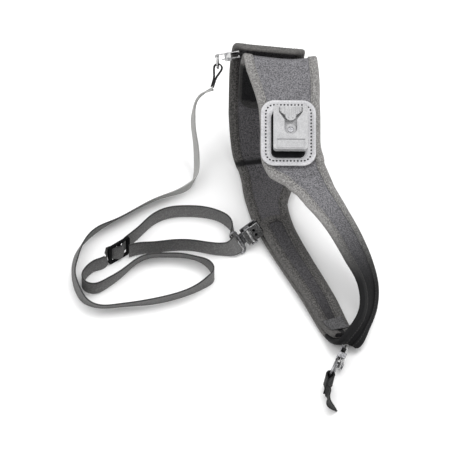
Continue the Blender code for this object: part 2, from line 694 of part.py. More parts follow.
def build_dock(front):
    """The sewn flange, the dock's base and body, the release lever with its pin and spring, and the seat."""
    band = front.band
    place, tangent, side, normal = band.frame(band.stations[DOCK_STATION])
    up = normal.cross(side).normalized()
    axes = Matrix((side.normalized(), up, normal.normalized())).transposed().to_4x4()
    frame = empty("dock_frame", Matrix.Translation(place + side * DOCK_SIDE_SHIFT) @ axes)

    flange_bottom = PANEL_THICKNESS / 2 + FLANGE_LIFT
    flange_top = flange_bottom + FLANGE_THICKNESS
    base_bottom = flange_top + GAP
    body_bottom = base_bottom + BASE_THICKNESS + GAP
    face = body_bottom + BODY_THICKNESS
    floor = face - POCKET_DEPTH
    centre = Vector((BODY_SIDE_SHIFT, BODY_RISE, 0))
    top_edge = centre.y + BODY_LENGTH / 2
    seat = Vector((centre.x, centre.y - SEAT_BELOW_CENTRE, floor))

    outline = rounded_rectangle(FLANGE_WIDTH, FLANGE_LENGTH, FLANGE_RADIUS, (0, FLANGE_OFFSET))
    flange = slab("dock_flange", [outline], flange_bottom, flange_top, "dock_flange")
    put_in(frame, soften(flange, 0.5 * MM))

    outline = rounded_rectangle(BASE_WIDTH, BASE_LENGTH, 6 * MM, (centre.x + BASE_SIDE_OFFSET, centre.y + BASE_OFFSET))
    base = slab("dock_base", [outline], base_bottom, body_bottom - GAP, "dark_plastic")
    put_in(frame, soften(base, 0.6 * MM))

    outline = rounded_rectangle(BODY_WIDTH, BODY_LENGTH, BODY_RADIUS, centre)
    body = soften(slab("dock_body", [outline], body_bottom, face, "dock_moulding"), 0.9 * MM)
    bar_bottom = centre.y - BODY_LENGTH / 2 + BAR_EDGE
    bar = block(
        "bar",
        (centre.x - BAR_WIDTH / 2, bar_bottom, face - 1 * MM),
        (centre.x + BAR_WIDTH / 2, bar_bottom + BAR_LENGTH, face + BAR_HEIGHT),
        bevel=0.7 * MM,
    )
    combine(body, bar, "UNION")
    groove = block(
        "groove",
        (centre.x - BAR_WIDTH / 2, bar_bottom + BAR_LENGTH, face - BAR_GROOVE_DEPTH),
        (centre.x + BAR_WIDTH / 2, bar_bottom + BAR_LENGTH + BAR_GROOVE, face + 1 * MM),
    )
    combine(body, groove, "DIFFERENCE")
    neck = NECK_WIDTH / 2
    neck_top = centre.y + NECK_START
    mouth = MOUTH_WIDTH / 2
    arc = [
        (seat.x + neck * math.cos(math.radians(a)), seat.y - neck * math.sin(math.radians(a)))
        for a in range(0, 181, 20)
    ]
    past = top_edge + 2 * MM
    funnel = [(centre.x - neck, neck_top), (centre.x - mouth, neck_top + 8 * MM), (centre.x - mouth, past)]
    funnel += [(centre.x + mouth, past), (centre.x + mouth, neck_top + 8 * MM), (centre.x + neck, neck_top)]
    combine(body, slab("pocket", [funnel + arc], floor, face + 2 * MM, "dock_moulding"), "DIFFERENCE")
    wide = neck + UNDERCUT
    channel = rounded_rectangle(2 * wide, NECK_START + 12 * MM, 3 * MM, (seat.x, seat.y + NECK_START / 2 - 1 * MM))
    shelf = face - LIP_THICKNESS
    combine(body, slab("channel", [channel], shelf - UNDERCUT_HEIGHT, shelf, "dock_moulding"), "DIFFERENCE")
    pin_place = Vector((centre.x, top_edge - LEVER_PIN_INSET, face - LEVER_SINK - LEVER_THICKNESS / 2))
    reach = Vector((BODY_WIDTH / 2 - 2 * MM, 0, 0))
    bore = rod("bore", LEVER_PIN_RADIUS + PIN_CLEARANCE, pin_place - reach * 2, pin_place + reach * 2)
    combine(body, bore, "DIFFERENCE")
    put_in(frame, body)

    pin = rod("dock_lever_pin", LEVER_PIN_RADIUS, pin_place - reach, pin_place + reach, sides=12)
    put_in(frame, pin)

    lever_top = face - LEVER_SINK
    lever_bottom = lever_top - LEVER_THICKNESS
    half = mouth - LEVER_SIDE_CLEARANCE
    thin = neck - LEVER_SIDE_CLEARANCE
    upper = top_edge - LEVER_END_CLEARANCE
    lower = upper - LEVER_LENGTH
    shoulder = neck_top + 9 * MM
    tongue = [(centre.x + thin * math.cos(a), lower + thin * (1 - math.sin(a))) for a in np.linspace(0, math.pi, 7)]
    outline = [(centre.x - half, shoulder), (centre.x - half, upper), (centre.x + half, upper)]
    outline += [(centre.x + half, shoulder)] + tongue
    lever = soften(slab("dock_lever", [outline], lever_bottom, lever_top, "dock_moulding"), 0.3 * MM, 1)
    for i in range(RIB_COUNT):
        x = centre.x + (i - (RIB_COUNT - 1) / 2) * (2 * half - 3 * MM) / (RIB_COUNT - 1)
        out = abs(x - centre.x) + RIB_WIDTH / 2 + RIB_MARGIN
        edge = lower + thin - math.sqrt(max(thin**2 - out**2, 0))
        edge += max(out - thin, 0) / (half - thin) * (shoulder - lower - thin)
        low = (x - RIB_WIDTH / 2, max(upper - 1 * MM - RIB_LENGTH, edge), lever_top - 0.5 * MM)
        high = (x + RIB_WIDTH / 2, upper - 1 * MM, lever_top + RIB_HEIGHT)
        combine(lever, block("rib", low, high, bevel=0.25 * MM, segments=1), "UNION")
    bore = rod("bore", LEVER_PIN_RADIUS + PIN_CLEARANCE, pin_place - reach, pin_place + reach)
    combine(lever, bore, "DIFFERENCE")
    put_in(frame, lever, pin_place)

    spring_low = lever_bottom - GAP - SPRING_THICKNESS
    spring_x = centre.x - SPRING_WIDTH / 2
    spring = block(
        "dock_lever_spring",
        (spring_x, lower + 5 * MM, spring_low),
        (spring_x + SPRING_WIDTH, lower + 5 * MM + SPRING_LENGTH, spring_low + SPRING_THICKNESS),
        "spring_steel",
    )
    put_in(frame, spring, pin_place)

    seat_bottom = floor + GAP
    ring = rod("dock_seat", neck - GAP, (seat.x, seat.y, seat_bottom), (seat.x, seat.y, seat_bottom + SEAT_HEIGHT))
    hole = rod("hole", SEAT_HOLE_RADIUS, (seat.x, seat.y, 0), (seat.x, seat.y, face))
    put_in(frame, combine(ring, hole, "DIFFERENCE"))
    screw = rod("dock_screw", SCREW_RADIUS, (seat.x, seat.y, seat_bottom), (seat.x, seat.y, seat_bottom + SCREW_HEIGHT))
    for width, length in ((0.7 * MM, 3.6 * MM), (3.6 * MM, 0.7 * MM)):
        low = (seat.x - width / 2, seat.y - length / 2, seat_bottom + SCREW_HEIGHT / 2)
        high = (seat.x + width / 2, seat.y + length / 2, face)
        combine(screw, block("recess", low, high), "DIFFERENCE")
    put_in(frame, screw)


def toothed_lip(name, base, tip, x_start, x_end):
    """The frame's jaw lip: a flat root across the clip with a row of teeth up to the tip height."""
    half = CLIP_WIDTH / 2 - JAW_INSET
    pitch = 2 * half / JAW_TEETH
    outline = [(-half, base), (half, base)]
    for i in range(JAW_TEETH):
        right = half - i * pitch
        outline += [(right, tip - JAW_TOOTH_DEPTH), (right - pitch / 2, tip)]
    outline.append((-half, tip - JAW_TOOTH_DEPTH))
    lip = slab(name, [outline], x_start, x_end, "bright_metal")
    lip.data.transform(Matrix(((0, 0, 1, 0), (1, 0, 0, 0), (0, 1, 0, 0), (0, 0, 0, 1))))
    return lip


def build_clip(clip):
    """A suspender-type clip: frame, lever, pin, wire bail, jaw pad and the webbing tab in its jaws."""
    along = Vector(clip.towards).normalized()
    across = Vector(clip.across)
    across = (across - along * across.dot(along)).normalized()
    edge_shift = across * (CLIP_WIDTH - DRAWN_CLIP_WIDTH) / 2
    place = Vector(clip.place) * MM - ORIGIN + station_shift(clip.station) + edge_shift
    axes = Matrix((along, across, along.cross(across))).transposed().to_4x4()
    frame = empty(f"{clip.name}_clip_frame_axes", Matrix.Translation(place) @ axes)
    prefix = f"{clip.name}_clip"
    half = CLIP_WIDTH / 2
    knuckle = WIRE_RADIUS + PIN_CLEARANCE
    knuckle_outer = knuckle + KNUCKLE_WALL
    plate_bottom = -knuckle_outer
    plate_top = plate_bottom + CLIP_PLATE
    pin = Vector((CLIP_EAR_START + CLIP_EAR_LENGTH / 2, 0, plate_top + CLIP_PIN_HEIGHT))
    ear_top = pin.z + CLIP_PIN_RADIUS + 1.2 * MM
    jaw_base = plate_top + 1.4 * MM
    lip_start = CLIP_LENGTH - JAW_LENGTH

    body = block(prefix + "_frame", (0, -half, plate_bottom), (CLIP_LENGTH, half, plate_top), bevel=0.3 * MM, segments=1)
    slot = KNUCKLE_WIDTH / 2
    for hand in (-1, 1):
        inner, outer = sorted((hand * slot, hand * (half + 1 * MM)))
        corner = block("corner", (-1 * MM, inner, plate_bottom - 1 * MM), (5 * MM, outer, plate_top + 1 * MM))
        combine(body, corner, "DIFFERENCE")
    for hand in (-1, 1):
        inner, outer = sorted((hand * half, hand * (half - CLIP_PLATE)))
        low = (CLIP_EAR_START, inner, plate_bottom + 0.2 * MM)
        ear = block("ear", low, (CLIP_EAR_START + CLIP_EAR_LENGTH, outer, ear_top), bevel=0.4 * MM, segments=1)
        combine(body, ear, "UNION")
    combine(body, rod("knuckle", knuckle_outer, (0, -slot, 0), (0, slot, 0)), "UNION")
    combine(body, toothed_lip("lip", plate_bottom + 0.2 * MM, jaw_base, lip_start, CLIP_LENGTH - 0.1 * MM), "UNION")
    combine(body, rod("hole", knuckle, (0, -half, 0), (0, half, 0)), "DIFFERENCE")
    bore = CLIP_PIN_RADIUS + PIN_CLEARANCE
    combine(body, rod("hole", bore, pin - Vector((0, 2 * half, 0)), pin + Vector((0, 2 * half, 0))), "DIFFERENCE")
    put_in(frame, body)

    reach = Vector((0, half + 0.6 * MM, 0))
    put_in(frame, rod(prefix + "_pin", CLIP_PIN_RADIUS, pin - reach, pin + reach, "spring_steel", 12))

    lever_half = half - CLIP_PLATE - CLIP_LEVER_CLEARANCE
    lever_bottom = pin.z - CLIP_PLATE / 2
    lever_top = pin.z + CLIP_PLATE / 2
    low, high = (CLIP_LEVER_START, -lever_half, lever_bottom), (CLIP_LENGTH, lever_half, lever_top)
    lever = block(prefix + "_lever", low, high, bevel=0.3 * MM, segments=1)
    jaw_tip = jaw_base + JAW_GAP
    low = (lip_start, JAW_INSET - half, jaw_tip)
    lip = block("lip", low, (CLIP_LENGTH - 0.6 * MM, half - JAW_INSET, pin.z))
    combine(lever, lip, "UNION")
    for hand in (-0.5, 0.5):
        spot = Vector((pin.x + 5.2 * MM, hand * GRIP_HOLE_SPACING, lever_bottom))
        tool = rod("hole", GRIP_HOLE_RADIUS, spot - Vector((0, 0, 1 * MM)), spot + Vector((0, 0, 3 * MM)))
        combine(lever, tool, "DIFFERENCE")
    hub = bore + KNUCKLE_WALL
    hub_reach = Vector((0, lever_half - 0.4 * MM, 0))
    combine(lever, rod("hub", hub, pin - hub_reach, pin + hub_reach), "UNION")
    combine(lever, rod("hole", bore, pin - Vector((0, half, 0)), pin + Vector((0, half, 0))), "DIFFERENCE")
    put_in(frame, lever, pin)

    insert_end = lip_start - 0.6 * MM
    low = (insert_end - PAD_INSERT_LENGTH, 2.2 * MM - half, plate_top + GAP)
    high = (insert_end, half - 2.2 * MM, plate_top + GAP + PAD_INSERT_THICKNESS)
    put_in(frame, block(prefix + "_jaw_pad", low, high, "dark_plastic", bevel=0.25 * MM, segments=1))

    bail_half = BAIL_WIDTH / 2
    length = clip.bail * MM
    turn = 3 * MM
    corners = [(0, 1 * MM - slot), (0, -bail_half + turn), (-turn * 0.3, -bail_half + turn * 0.3)]
    corners += [(-turn, -bail_half), (turn - length, -bail_half), (turn * 0.3 - length, -bail_half + turn * 0.3)]
    corners += [(-length, -bail_half + turn)]
    run = corners + [(x, -y) for x, y in reversed(corners)]
    curve = bpy.data.curves.new(prefix + "_bail", "CURVE")
    curve.dimensions = "3D"
    curve.bevel_depth = WIRE_RADIUS
    curve.bevel_resolution = 2
    curve.use_fill_caps = True
    spline = curve.splines.new("POLY")
    spline.points.add(len(run) - 1)
    for point, (x, y) in zip(spline.points, run):
        point.co = (x, y, 0, 1)
    guide = bpy.data.objects.new(prefix + "_bail_guide", curve)
    model.objects.link(guide)
    mesh = evaluated_mesh(guide)
    bpy.data.objects.remove(guide, do_unlink=True)
    shape = bmesh.new()
    shape.from_mesh(mesh)
    bmesh.ops.remove_doubles(shape, verts=shape.verts, dist=0.001 * MM)
    bail = add_object(prefix + "_bail", mesh_from_bmesh(prefix + "_bail", shape), "bright_metal")
    put_in(frame, bail)
    bail.rotation_euler = (0, math.radians(clip.swing), 0)

    middle = (jaw_base + jaw_tip) / 2
    low = (CLIP_LENGTH - CLIP_TAB_BITE, 1 * MM - half, middle - WEBBING_THICKNESS / 2)
    high = (CLIP_LENGTH - CLIP_TAB_BITE + CLIP_TAB_LENGTH, half - 1 * MM, middle + WEBBING_THICKNESS / 2)
    put_in(frame, block(prefix + "_tab", low, high, "webbing"))
    return frame


def webbing(name, band, rows, width=WEBBING_WIDTH, thickness=WEBBING_THICKNESS):
    """Flat webbing along a route."""
    shape = bmesh.new()
    bmesh.ops.create_grid(shape, x_segments=1, y_segments=len(rows) - 1, size=1.0)
    order = sorted(shape.verts, key=lambda v: (round(v.co.y, 5), round(v.co.x, 5)))
    for i, row in enumerate(rows):
        place, _, side, _ = band.frame(row)
        order[2 * i].co = place - side * width / 2
        order[2 * i + 1].co = place + side * width / 2
    thing = add_object(name, mesh_from_bmesh(name, shape), "webbing")
    wall = thing.modifiers.new("wall", "SOLIDIFY")
    wall.thickness = thickness
    wall.offset = 0
    return smooth(bake(thing))


def strap_places(route):
    """A strap's places and width directions, with lying places raised so that the lower edge clears the surface."""
    places, sides = [], []
    for (x, y, z), lean in route:
        side = Vector(lean).normalized()
        height = z * MM if z is not None else WEBBING_WIDTH / 2 * side.z + 1.2 * MM
        places.append((x * MM - ORIGIN.x, y * MM - ORIGIN.y, height))
        sides.append(tuple(side))
    return places, sides


def build_straps():
    """The chest strap with its tri-glide, the strap ends on the bails and the short leg strap."""
    heading = Vector((*GLIDE_HEADING, 0)).normalized()
    off = Vector((-heading.y, heading.x, 0))
    centre = Vector((GLIDE_CENTRE[0], GLIDE_CENTRE[1], 0)) * MM - ORIGIN
    weave = []
    for along, out in GLIDE_WEAVE:
        spot = (centre + ORIGIN) / MM + heading * along + off * out
        weave.append(((spot.x, spot.y, GLIDE_STRAP_HEIGHT), (0, 0, 1)))
    places, sides = strap_places(CHEST_ROUTE + tuple(weave) + LOOP_RUN_ROUTE)
    band = Band(places, sides)
    webbing("chest_strap", band, band.samples(0, band.length, 16 * MM, 13))
    places, sides = strap_places(LEG_STRAP_ROUTE)
    shift = station_shift(LOWER_CLIP_STATION)
    band = Band([tuple(Vector(place) + shift) for place in places], sides, samples=400)
    webbing("leg_strap", band, band.samples(0, band.length, 8 * MM, 10))

    outline = rounded_rectangle(GLIDE_LENGTH, GLIDE_HEIGHT, 3 * MM)
    slot_length = (GLIDE_LENGTH - 3 * GLIDE_BAR) / 2
    shift = (slot_length + GLIDE_BAR) / 2
    slots = [rounded_rectangle(slot_length, GLIDE_SLOT_HEIGHT, 1 * MM, (hand * shift, 0), 2) for hand in (-1, 1)]
    bottom, top = -GLIDE_THICKNESS / 2, GLIDE_THICKNESS / 2
    glide = slab("tri_glide", [outline] + slots, bottom, top, "dark_plastic")
    soften(glide, GLIDE_EDGE, 1)
    height = Vector((0, 0, GLIDE_HEIGHT / 2 + 0.5 * MM))
    axes = Matrix((heading, Vector((0, 0, 1)), heading.cross(Vector((0, 0, 1))))).transposed().to_4x4()
    put_in(empty("tri_glide_axes", Matrix.Translation(centre + height) @ axes), glide)


def build_strap_ring(name, frame, bar, tail):
    """The sewn end of a strap: a loop of webbing round a bail's bar, closing into a double-thick tail."""
    inner = RING_RADIUS
    outer = inner + WEBBING_THICKNESS
    direction = Vector((tail[0] - bar[0], tail[1] - bar[1])).normalized()
    length = (Vector(tail) - Vector(bar)).length
    join = 0.62 * length

    def teardrop(radius, tip, closing):
        arc = [(radius * math.cos(a), radius * math.sin(a)) for a in np.linspace(math.radians(80), math.radians(280), 9)]
        return arc + [(tip, -closing), (tip, closing)]

    def turned(points):
        return [
            (bar[0] + x * direction.x - y * direction.y, bar[1] + x * direction.y + y * direction.x) for x, y in points
        ]

    outlines = [turned(teardrop(outer, length, WEBBING_THICKNESS)), turned(teardrop(inner, join, 0.15 * MM))]
    half = WEBBING_WIDTH / 2
    ring = slab(name, outlines, -half, half, "webbing")
    ring.data.transform(Matrix.Rotation(math.radians(90), 4, "X"))
    put_in(frame, ring)


clear_scene()
loop = loop_band()
front_layer, underarm_layer, back_layer = build_loop(loop)
build_dock(front_layer)
clip_frames = {clip.name: build_clip(clip) for clip in CLIPS}
build_strap_ring("crest_strap_ring", clip_frames["crest"], (-1.0 * MM, 12 * MM), (-10.3 * MM, 31.0 * MM))
build_strap_ring("lower_strap_ring", clip_frames["lower"], (-16 * MM, 0), (-29 * MM, 1 * MM))
build_straps()
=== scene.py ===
"""The looks of a one-shoulder harness: padded loop, quick-release dock, toothed clips and webbing strap."""

import logging
import math
from dataclasses import dataclass, field
from enum import Enum
from typing import Callable, Sequence

import bmesh
import bpy
import numpy as np
from mathutils import Matrix, Vector


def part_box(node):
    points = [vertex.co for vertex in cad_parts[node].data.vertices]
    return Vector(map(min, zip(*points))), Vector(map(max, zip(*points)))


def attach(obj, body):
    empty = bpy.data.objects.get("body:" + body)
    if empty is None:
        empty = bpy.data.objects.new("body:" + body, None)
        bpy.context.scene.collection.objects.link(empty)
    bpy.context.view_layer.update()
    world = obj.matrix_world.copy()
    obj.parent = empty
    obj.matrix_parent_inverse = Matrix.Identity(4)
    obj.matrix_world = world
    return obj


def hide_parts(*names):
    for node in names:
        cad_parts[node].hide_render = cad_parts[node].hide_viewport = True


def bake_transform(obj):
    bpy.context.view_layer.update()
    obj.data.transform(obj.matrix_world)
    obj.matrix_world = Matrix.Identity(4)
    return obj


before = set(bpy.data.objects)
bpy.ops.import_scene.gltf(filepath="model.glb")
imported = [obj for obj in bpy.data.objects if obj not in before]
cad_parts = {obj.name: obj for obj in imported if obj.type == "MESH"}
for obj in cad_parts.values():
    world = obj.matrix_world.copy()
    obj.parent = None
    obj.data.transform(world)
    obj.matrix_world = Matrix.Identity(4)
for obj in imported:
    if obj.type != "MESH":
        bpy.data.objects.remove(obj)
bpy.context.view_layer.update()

LOG = logging.getLogger("harness")
MM = 0.001
ROOT_BODY = "harness"
Array = np.ndarray

# The padded loop's sizes, as its solids have them.
PANEL_THICKNESS = 4.0 * MM
TAPE_THICKNESS = 0.7 * MM
TAPE_REACH = 8.5 * MM
TAPE_CLEARANCE = 0.5 * MM
LAYER_CLEARANCE = 0.5 * MM
END_RADIUS = 14 * MM
TAB_LIFT = 3.0 * MM
TAB_INSET_LEFT = 0.5 * MM
TAB_INSET_RIGHT = 4.0 * MM
LOBE_OVERLAP = 12 * MM
JOINT_FROM_STATION = 6 * MM
JOINT_GAP = 1.0 * MM
TAB_FROM_STATION = 13 * MM
BOUND_THICKNESS = PANEL_THICKNESS + 2 * (TAPE_CLEARANCE + TAPE_THICKNESS)
LAYER_PITCH = BOUND_THICKNESS + LAYER_CLEARANCE
LYING_LIFT = BOUND_THICKNESS / 2 + 2.4 * MM - 7 * MM
ORIGIN = np.array((-5.4, -18.0, 0.0)) * MM
WEBBING_WIDTH = 20 * MM
WEBBING_THICKNESS = 1.5 * MM

# Stations of the loop's route: x, y, z in millimetres, sideways direction, half widths left and right.
LOOP_STATIONS = (
    (-24, 143, 78, 1, 0.00, -0.05, 40, 37),
    (-24, 155, 110, 1, -0.03, -0.08, 39, 38),
    (-23, 156.5, 132, 1, -0.05, -0.08, 38, 38),
    (-21, 150.5, 143.5, 1, -0.06, -0.09, 38, 38),
    (-18, 139, 142.5, 1, -0.03, -0.07, 36, 36),
    (-12, 105, 126.5, 1, 0.05, 0.00, 31, 31),
    (-11, 77, 113.3, 1, 0.05, 0.00, 30, 30.5),
    (-9, 54, 102.5, 1, 0.05, 0.00, 31, 30.5),
    (-5, 44.5, 97, 1, 0.05, -0.04, 29, 30),
    (0, 36, 91.5, 1, 0.06, -0.08, 18, 28.5),
    (8, 28, 86, 1, 0.12, -0.14, 15.5, 26),
    (19, 17, 80, 0.92, 0.25, -0.30, 18, 22),
    (38, -3, 66, 0.78, 0.38, -0.45, 18.5, 19),
    (60, -38, 45, 0.68, 0.42, -0.55, 18.5, 18.5),
    (69, -61, 35, 0.58, 0.35, -0.70, 17, 17),
    (70, -83, 28, 0.50, 0.30, -0.80, 14.5, 14.5),
    (64, -106, 23, 0.50, 0.25, -0.78, 12.5, 11),
    (50, -126, 17, 0.75, 0.15, -0.40, 13, 11),
    (40, -112, 9, 0.88, 0.30, -0.15, 13, 15),
    (22, -70, 7, 0.88, 0.42, -0.08, 15, 17),
    (-8, -7, 7, 0.88, 0.42, -0.05, 16, 18),
    (-24, 31, 7, 0.92, 0.36, -0.05, 18, 18),
    (-34, 66, 7, 0.96, 0.20, 0.00, 20, 20),
    (-35, 97, 7, 1, 0.08, 0.00, 25, 28),
    (-34, 119, 8.5, 1, 0.04, 0.00, 31, 36),
    (-36, 130, 21, 1, 0.02, 0.00, 34, 37),
    (-37, 148, 62, 1, 0.00, -0.03, 37, 38),
    (-36, 167, 108, 1, -0.03, -0.06, 37, 38),
    (-34, 171, 136, 1, -0.05, -0.08, 36, 38),
    (-32, 157, 152.5, 1, -0.06, -0.09, 34, 37),
)
DOCK_STATION, LAID_STATION, TAB_STATION = 6, 18, 21

# The chest strap's route in millimetres, with the direction that its width leans to. A place with no height
# stands with its lower edge on the surface.
UPRIGHT = (0, -0.05, 1)
CHEST_ROUTE = (
    ((-92.0, 132.7, 120.4), (0, -0.643, 0.766)),
    ((-93.3, 130.1, 118.2), (0, -0.643, 0.766)),
    ((-96.0, 130.0, 116.5), (0, -0.64, 0.77)),
    ((-100.5, 132.6, 110), (0, -0.66, 0.75)),
    ((-107, 134.6, 98), (0, -0.70, 0.71)),
    ((-110.8, 133.2, 80), (0.10, -0.75, 0.65)),
    ((-111.8, 131.2, 60), (0.20, -0.80, 0.55)),
    ((-109.7, 127, 38), (0.25, -0.80, 0.50)),
    ((-108.5, 118, 19), (0.25, -0.65, 0.66)),
    ((-109.5, 105, None), (0.25, -0.30, 0.90)),
    ((-114, 93, None), (0.25, -0.15, 0.95)),
    ((-127.5, 83, None), (0.10, -0.40, 0.90)),
    ((-145, 76, None), (0, -0.55, 0.83)),
    ((-166, 64, None), (0, -0.60, 0.80)),
    ((-196, 43, None), (0, -0.60, 0.80)),
    ((-215, 28, None), (0.10, -0.35, 0.92)),
    ((-231, 4, None), (0.36, -0.10, 0.92)),
    ((-235.5, -17, None), (0.30, 0, 0.95)),
    ((-236, -34, None), (0.12, 0, 1)),
    ((-232, -51, None), (0.10, -0.10, 1)),
    ((-223, -66, None), (0.10, -0.40, 0.9)),
    ((-210, -73, None), (0, -0.50, 0.87)),
    ((-189, -72, None), (0, -0.50, 0.87)),
    ((-173, -70, None), (0, -0.46, 0.89)),
    ((-153.5, -67, None), (0, -0.38, 0.93)),
    ((-132.5, -61, None), (0, -0.36, 0.93)),
    ((-111, -51, None), (0, -0.32, 0.95)),
    ((-97.5, -41, None), (0, -0.15, 1)),
    ((-90.5, -31, None), (0, 0, 1)),
    ((-93, -22, None), (0, -0.1, 1)),
    ((-104.5, -11, None), (0, -0.42, 0.91)),
    ((-121, -5, None), (0, -0.46, 0.89)),
    ((-140, -4, None), (0, -0.46, 0.89)),
    ((-156, -5, None), (0, -0.46, 0.89)),
    ((-167.5, -10, None), (0, -0.44, 0.90)),
    ((-179, -21, None), (0, -0.40, 0.92)),
    ((-190, -33, None), (0, -0.28, 0.96)),
    ((-203, -44, None), (0, -0.15, 1)),
    ((-214, -50, None), (0, -0.10, 1)),
    ((-224, -47, None), (0, -0.10, 1)),
    ((-227.5, -39, None), (0, -0.05, 1)),
    ((-224, -29, None), UPRIGHT),
    ((-213, -18.5, None), UPRIGHT),
    ((-202.5, -9.5, None), (0, 0, 1)),
)
GLIDE_CENTRE = (-189.5, -1.0)
GLIDE_HEADING = (0.79, 0.61)
GLIDE_WEAVE = ((-13, 4.2), (-9, 3.2), (-5, -0.3), (0, -3.3), (5, -0.3), (9, 3.2), (13, 4.2))
GLIDE_STRAP_HEIGHT = 14.0
LOOP_RUN_ROUTE = (
    ((-168.5, 27, None), UPRIGHT),
    ((-157.5, 40.5, None), UPRIGHT),
    ((-146, 49.5, None), UPRIGHT),
    ((-135.5, 53.5, None), UPRIGHT),
    ((-119, 55, None), UPRIGHT),
    ((-98, 53, None), UPRIGHT),
    ((-83, 47, None), UPRIGHT),
    ((-74, 38, 11.8), (-0.05, 0.10, 1)),
    ((-69.4, 25, 11.8), (-0.25, 0.20, 0.95)),
    ((-68.5, 15.2, 11.0), (-0.44, 0.27, 0.86)),
    ((-66.8, 11.9, 12.1), (-0.47, 0.29, 0.83)),
    ((-65.6, 9.1, 13.8), (-0.47, 0.29, 0.83)),
    ((-66.8, 6.1, 14.2), (-0.47, 0.29, 0.83)),
    ((-71.0, 3.2, 13.0), (-0.40, 0.22, 0.88)),
    ((-80, 3.0, None), (0, 0.05, 1)),
    ((-92, 4.0, None), (0, 0, 1)),
    ((-111, 8, None), UPRIGHT),
    ((-132.5, 8.5, None), UPRIGHT),
    ((-155, 5.5, None), UPRIGHT),
    ((-172, 3.2, None), (0, 0, 1)),
    ((-179, 0.6, None), (0, 0, 1)),
)
LEG_STRAP_ROUTE = (
    ((25.1, -185.4, None), (0.15, -0.10, 0.98)),
    ((28.2, -190.5, None), (0.15, -0.15, 0.97)),
    ((27.7, -196, None), (0.15, -0.20, 0.95)),
    ((29.4, -203, None), (0.10, -0.35, 0.93)),
    ((34.7, -209, None), (0, -0.50, 0.86)),
)

Vec = tuple[float, float, float]
Seam = tuple[Array, Array]


class Side(Enum):
    """The two faces of a padded layer."""

    OUTER = 1
    INNER = -1


# ----------------------------------------------------------------------------------------------- shaders


class Socket:
    """One output of a shader node. Arithmetic on it adds Math nodes."""

    def __init__(self, graph: "Graph", link: bpy.types.NodeSocket) -> None:
        self.graph = graph
        self.link = link

    def _math(self, operation: str, first: "Number", second: "Number") -> "Socket":
        return self.graph.node("ShaderNodeMath", {"operation": operation}, {0: first, 1: second})

    def __add__(self, other: "Number") -> "Socket":
        return self._math("ADD", self, other)

    def __radd__(self, other: "Number") -> "Socket":
        return self._math("ADD", other, self)

    def __sub__(self, other: "Number") -> "Socket":
        return self._math("SUBTRACT", self, other)

    def __rsub__(self, other: "Number") -> "Socket":
        return self._math("SUBTRACT", other, self)

    def __mul__(self, other: "Number") -> "Socket":
        return self._math("MULTIPLY", self, other)

    def __rmul__(self, other: "Number") -> "Socket":
        return self._math("MULTIPLY", other, self)

    def sine(self) -> "Socket":
        """The sine of the value."""
        return self._math("SINE", self, 0.0)

    def eased(self, low: float, high: float) -> "Socket":
        """0 at low, 1 at high, smooth between."""
        inputs = {"Value": self, "From Min": low, "From Max": high}
        return self.graph.node("ShaderNodeMapRange", {"interpolation_type": "SMOOTHSTEP"}, inputs)


Number = Socket | float


class Graph:
    """A material's node tree with one method that adds any node."""

    def __init__(self, name: str) -> None:
        self.material = bpy.data.materials.new(name)
        self.material.use_nodes = True
        self.tree = self.material.node_tree
        self.shader = self.tree.nodes["Principled BSDF"]

    def node(self, kind: str, settings: dict, inputs: dict, output: int | str = 0) -> Socket:
        """Adds a node.

        Args:
            kind: the node's type.
            settings: its own settings, set before its sockets.
            inputs: values or sockets by the input's name or number.
            output: the output that is handed back.

        Returns:
            The chosen output.
        """
        node = self.tree.nodes.new(kind)
        for name, value in settings.items():
            setattr(node, name, value)
        for name, value in inputs.items():
            if isinstance(value, Socket):
                self.tree.links.new(value.link, node.inputs[name])
            else:
                node.inputs[name].default_value = value
        return Socket(self, node.outputs[output])

    def place(self) -> Socket:
        """The place in the object's own coordinates."""
        return self.node("ShaderNodeTexCoord", {}, {}, "Object")

    def noise(self, scale: float, detail: float = 2.0, where: Socket | None = None) -> Socket:
        """Smooth noise about 0.5 with a scale per metre."""
        inputs = {"Vector": where or self.place(), "Scale": scale, "Detail": detail, "Roughness": 0.55}
        return self.node("ShaderNodeTexNoise", {}, inputs, "Fac")

    def attribute(self, name: str) -> Socket:
        """A number stored on the mesh."""
        return self.node("ShaderNodeAttribute", {"attribute_name": name}, {}, "Fac")

    def strands(self) -> tuple[Socket, Socket]:
        """The distances across and along a strap, in metres, from its own map."""
        map_socket = self.node("ShaderNodeUVMap", {"uv_map": "cloth"}, {})
        across = self.node("ShaderNodeSeparateXYZ", {}, {0: map_socket}, "X")
        along = Socket(self, across.link.node.outputs["Y"])
        return across, along

    def blend(self, amount: Number, first: Vec | Socket, second: Vec | Socket) -> Socket:
        """A colour between two colours."""
        first, second = (c if isinstance(c, Socket) else (*c, 1.0) for c in (first, second))
        return self.node("ShaderNodeMix", {"data_type": "RGBA"}, {0: amount, 6: first, 7: second}, 2)

    def bump(self, height: Socket, strength: float, distance: float) -> Socket:
        """A normal bent by a height."""
        return self.node("ShaderNodeBump", {}, {"Height": height, "Strength": strength, "Distance": distance})

    def finish(
        self, colour: Vec | Socket, roughness: Number, normal: Socket | None = None, **fixed: float
    ) -> bpy.types.Material:
        """Sets the shader.

        Args:
            colour: the base colour.
            roughness: the roughness.
            normal: the bent normal, if any.
            fixed: further shader sockets by name, with _ for a space.

        Returns:
            The material.
        """
        for name, value in (("Base Color", colour), ("Roughness", roughness), ("Normal", normal)):
            if isinstance(value, Socket):
                self.tree.links.new(value.link, self.shader.inputs[name])
            elif value is not None:
                self.shader.inputs[name].default_value = (*value, 1.0) if name == "Base Color" else value
        for name, value in fixed.items():
            self.shader.inputs[name.replace("_", " ")].default_value = value
        return self.material


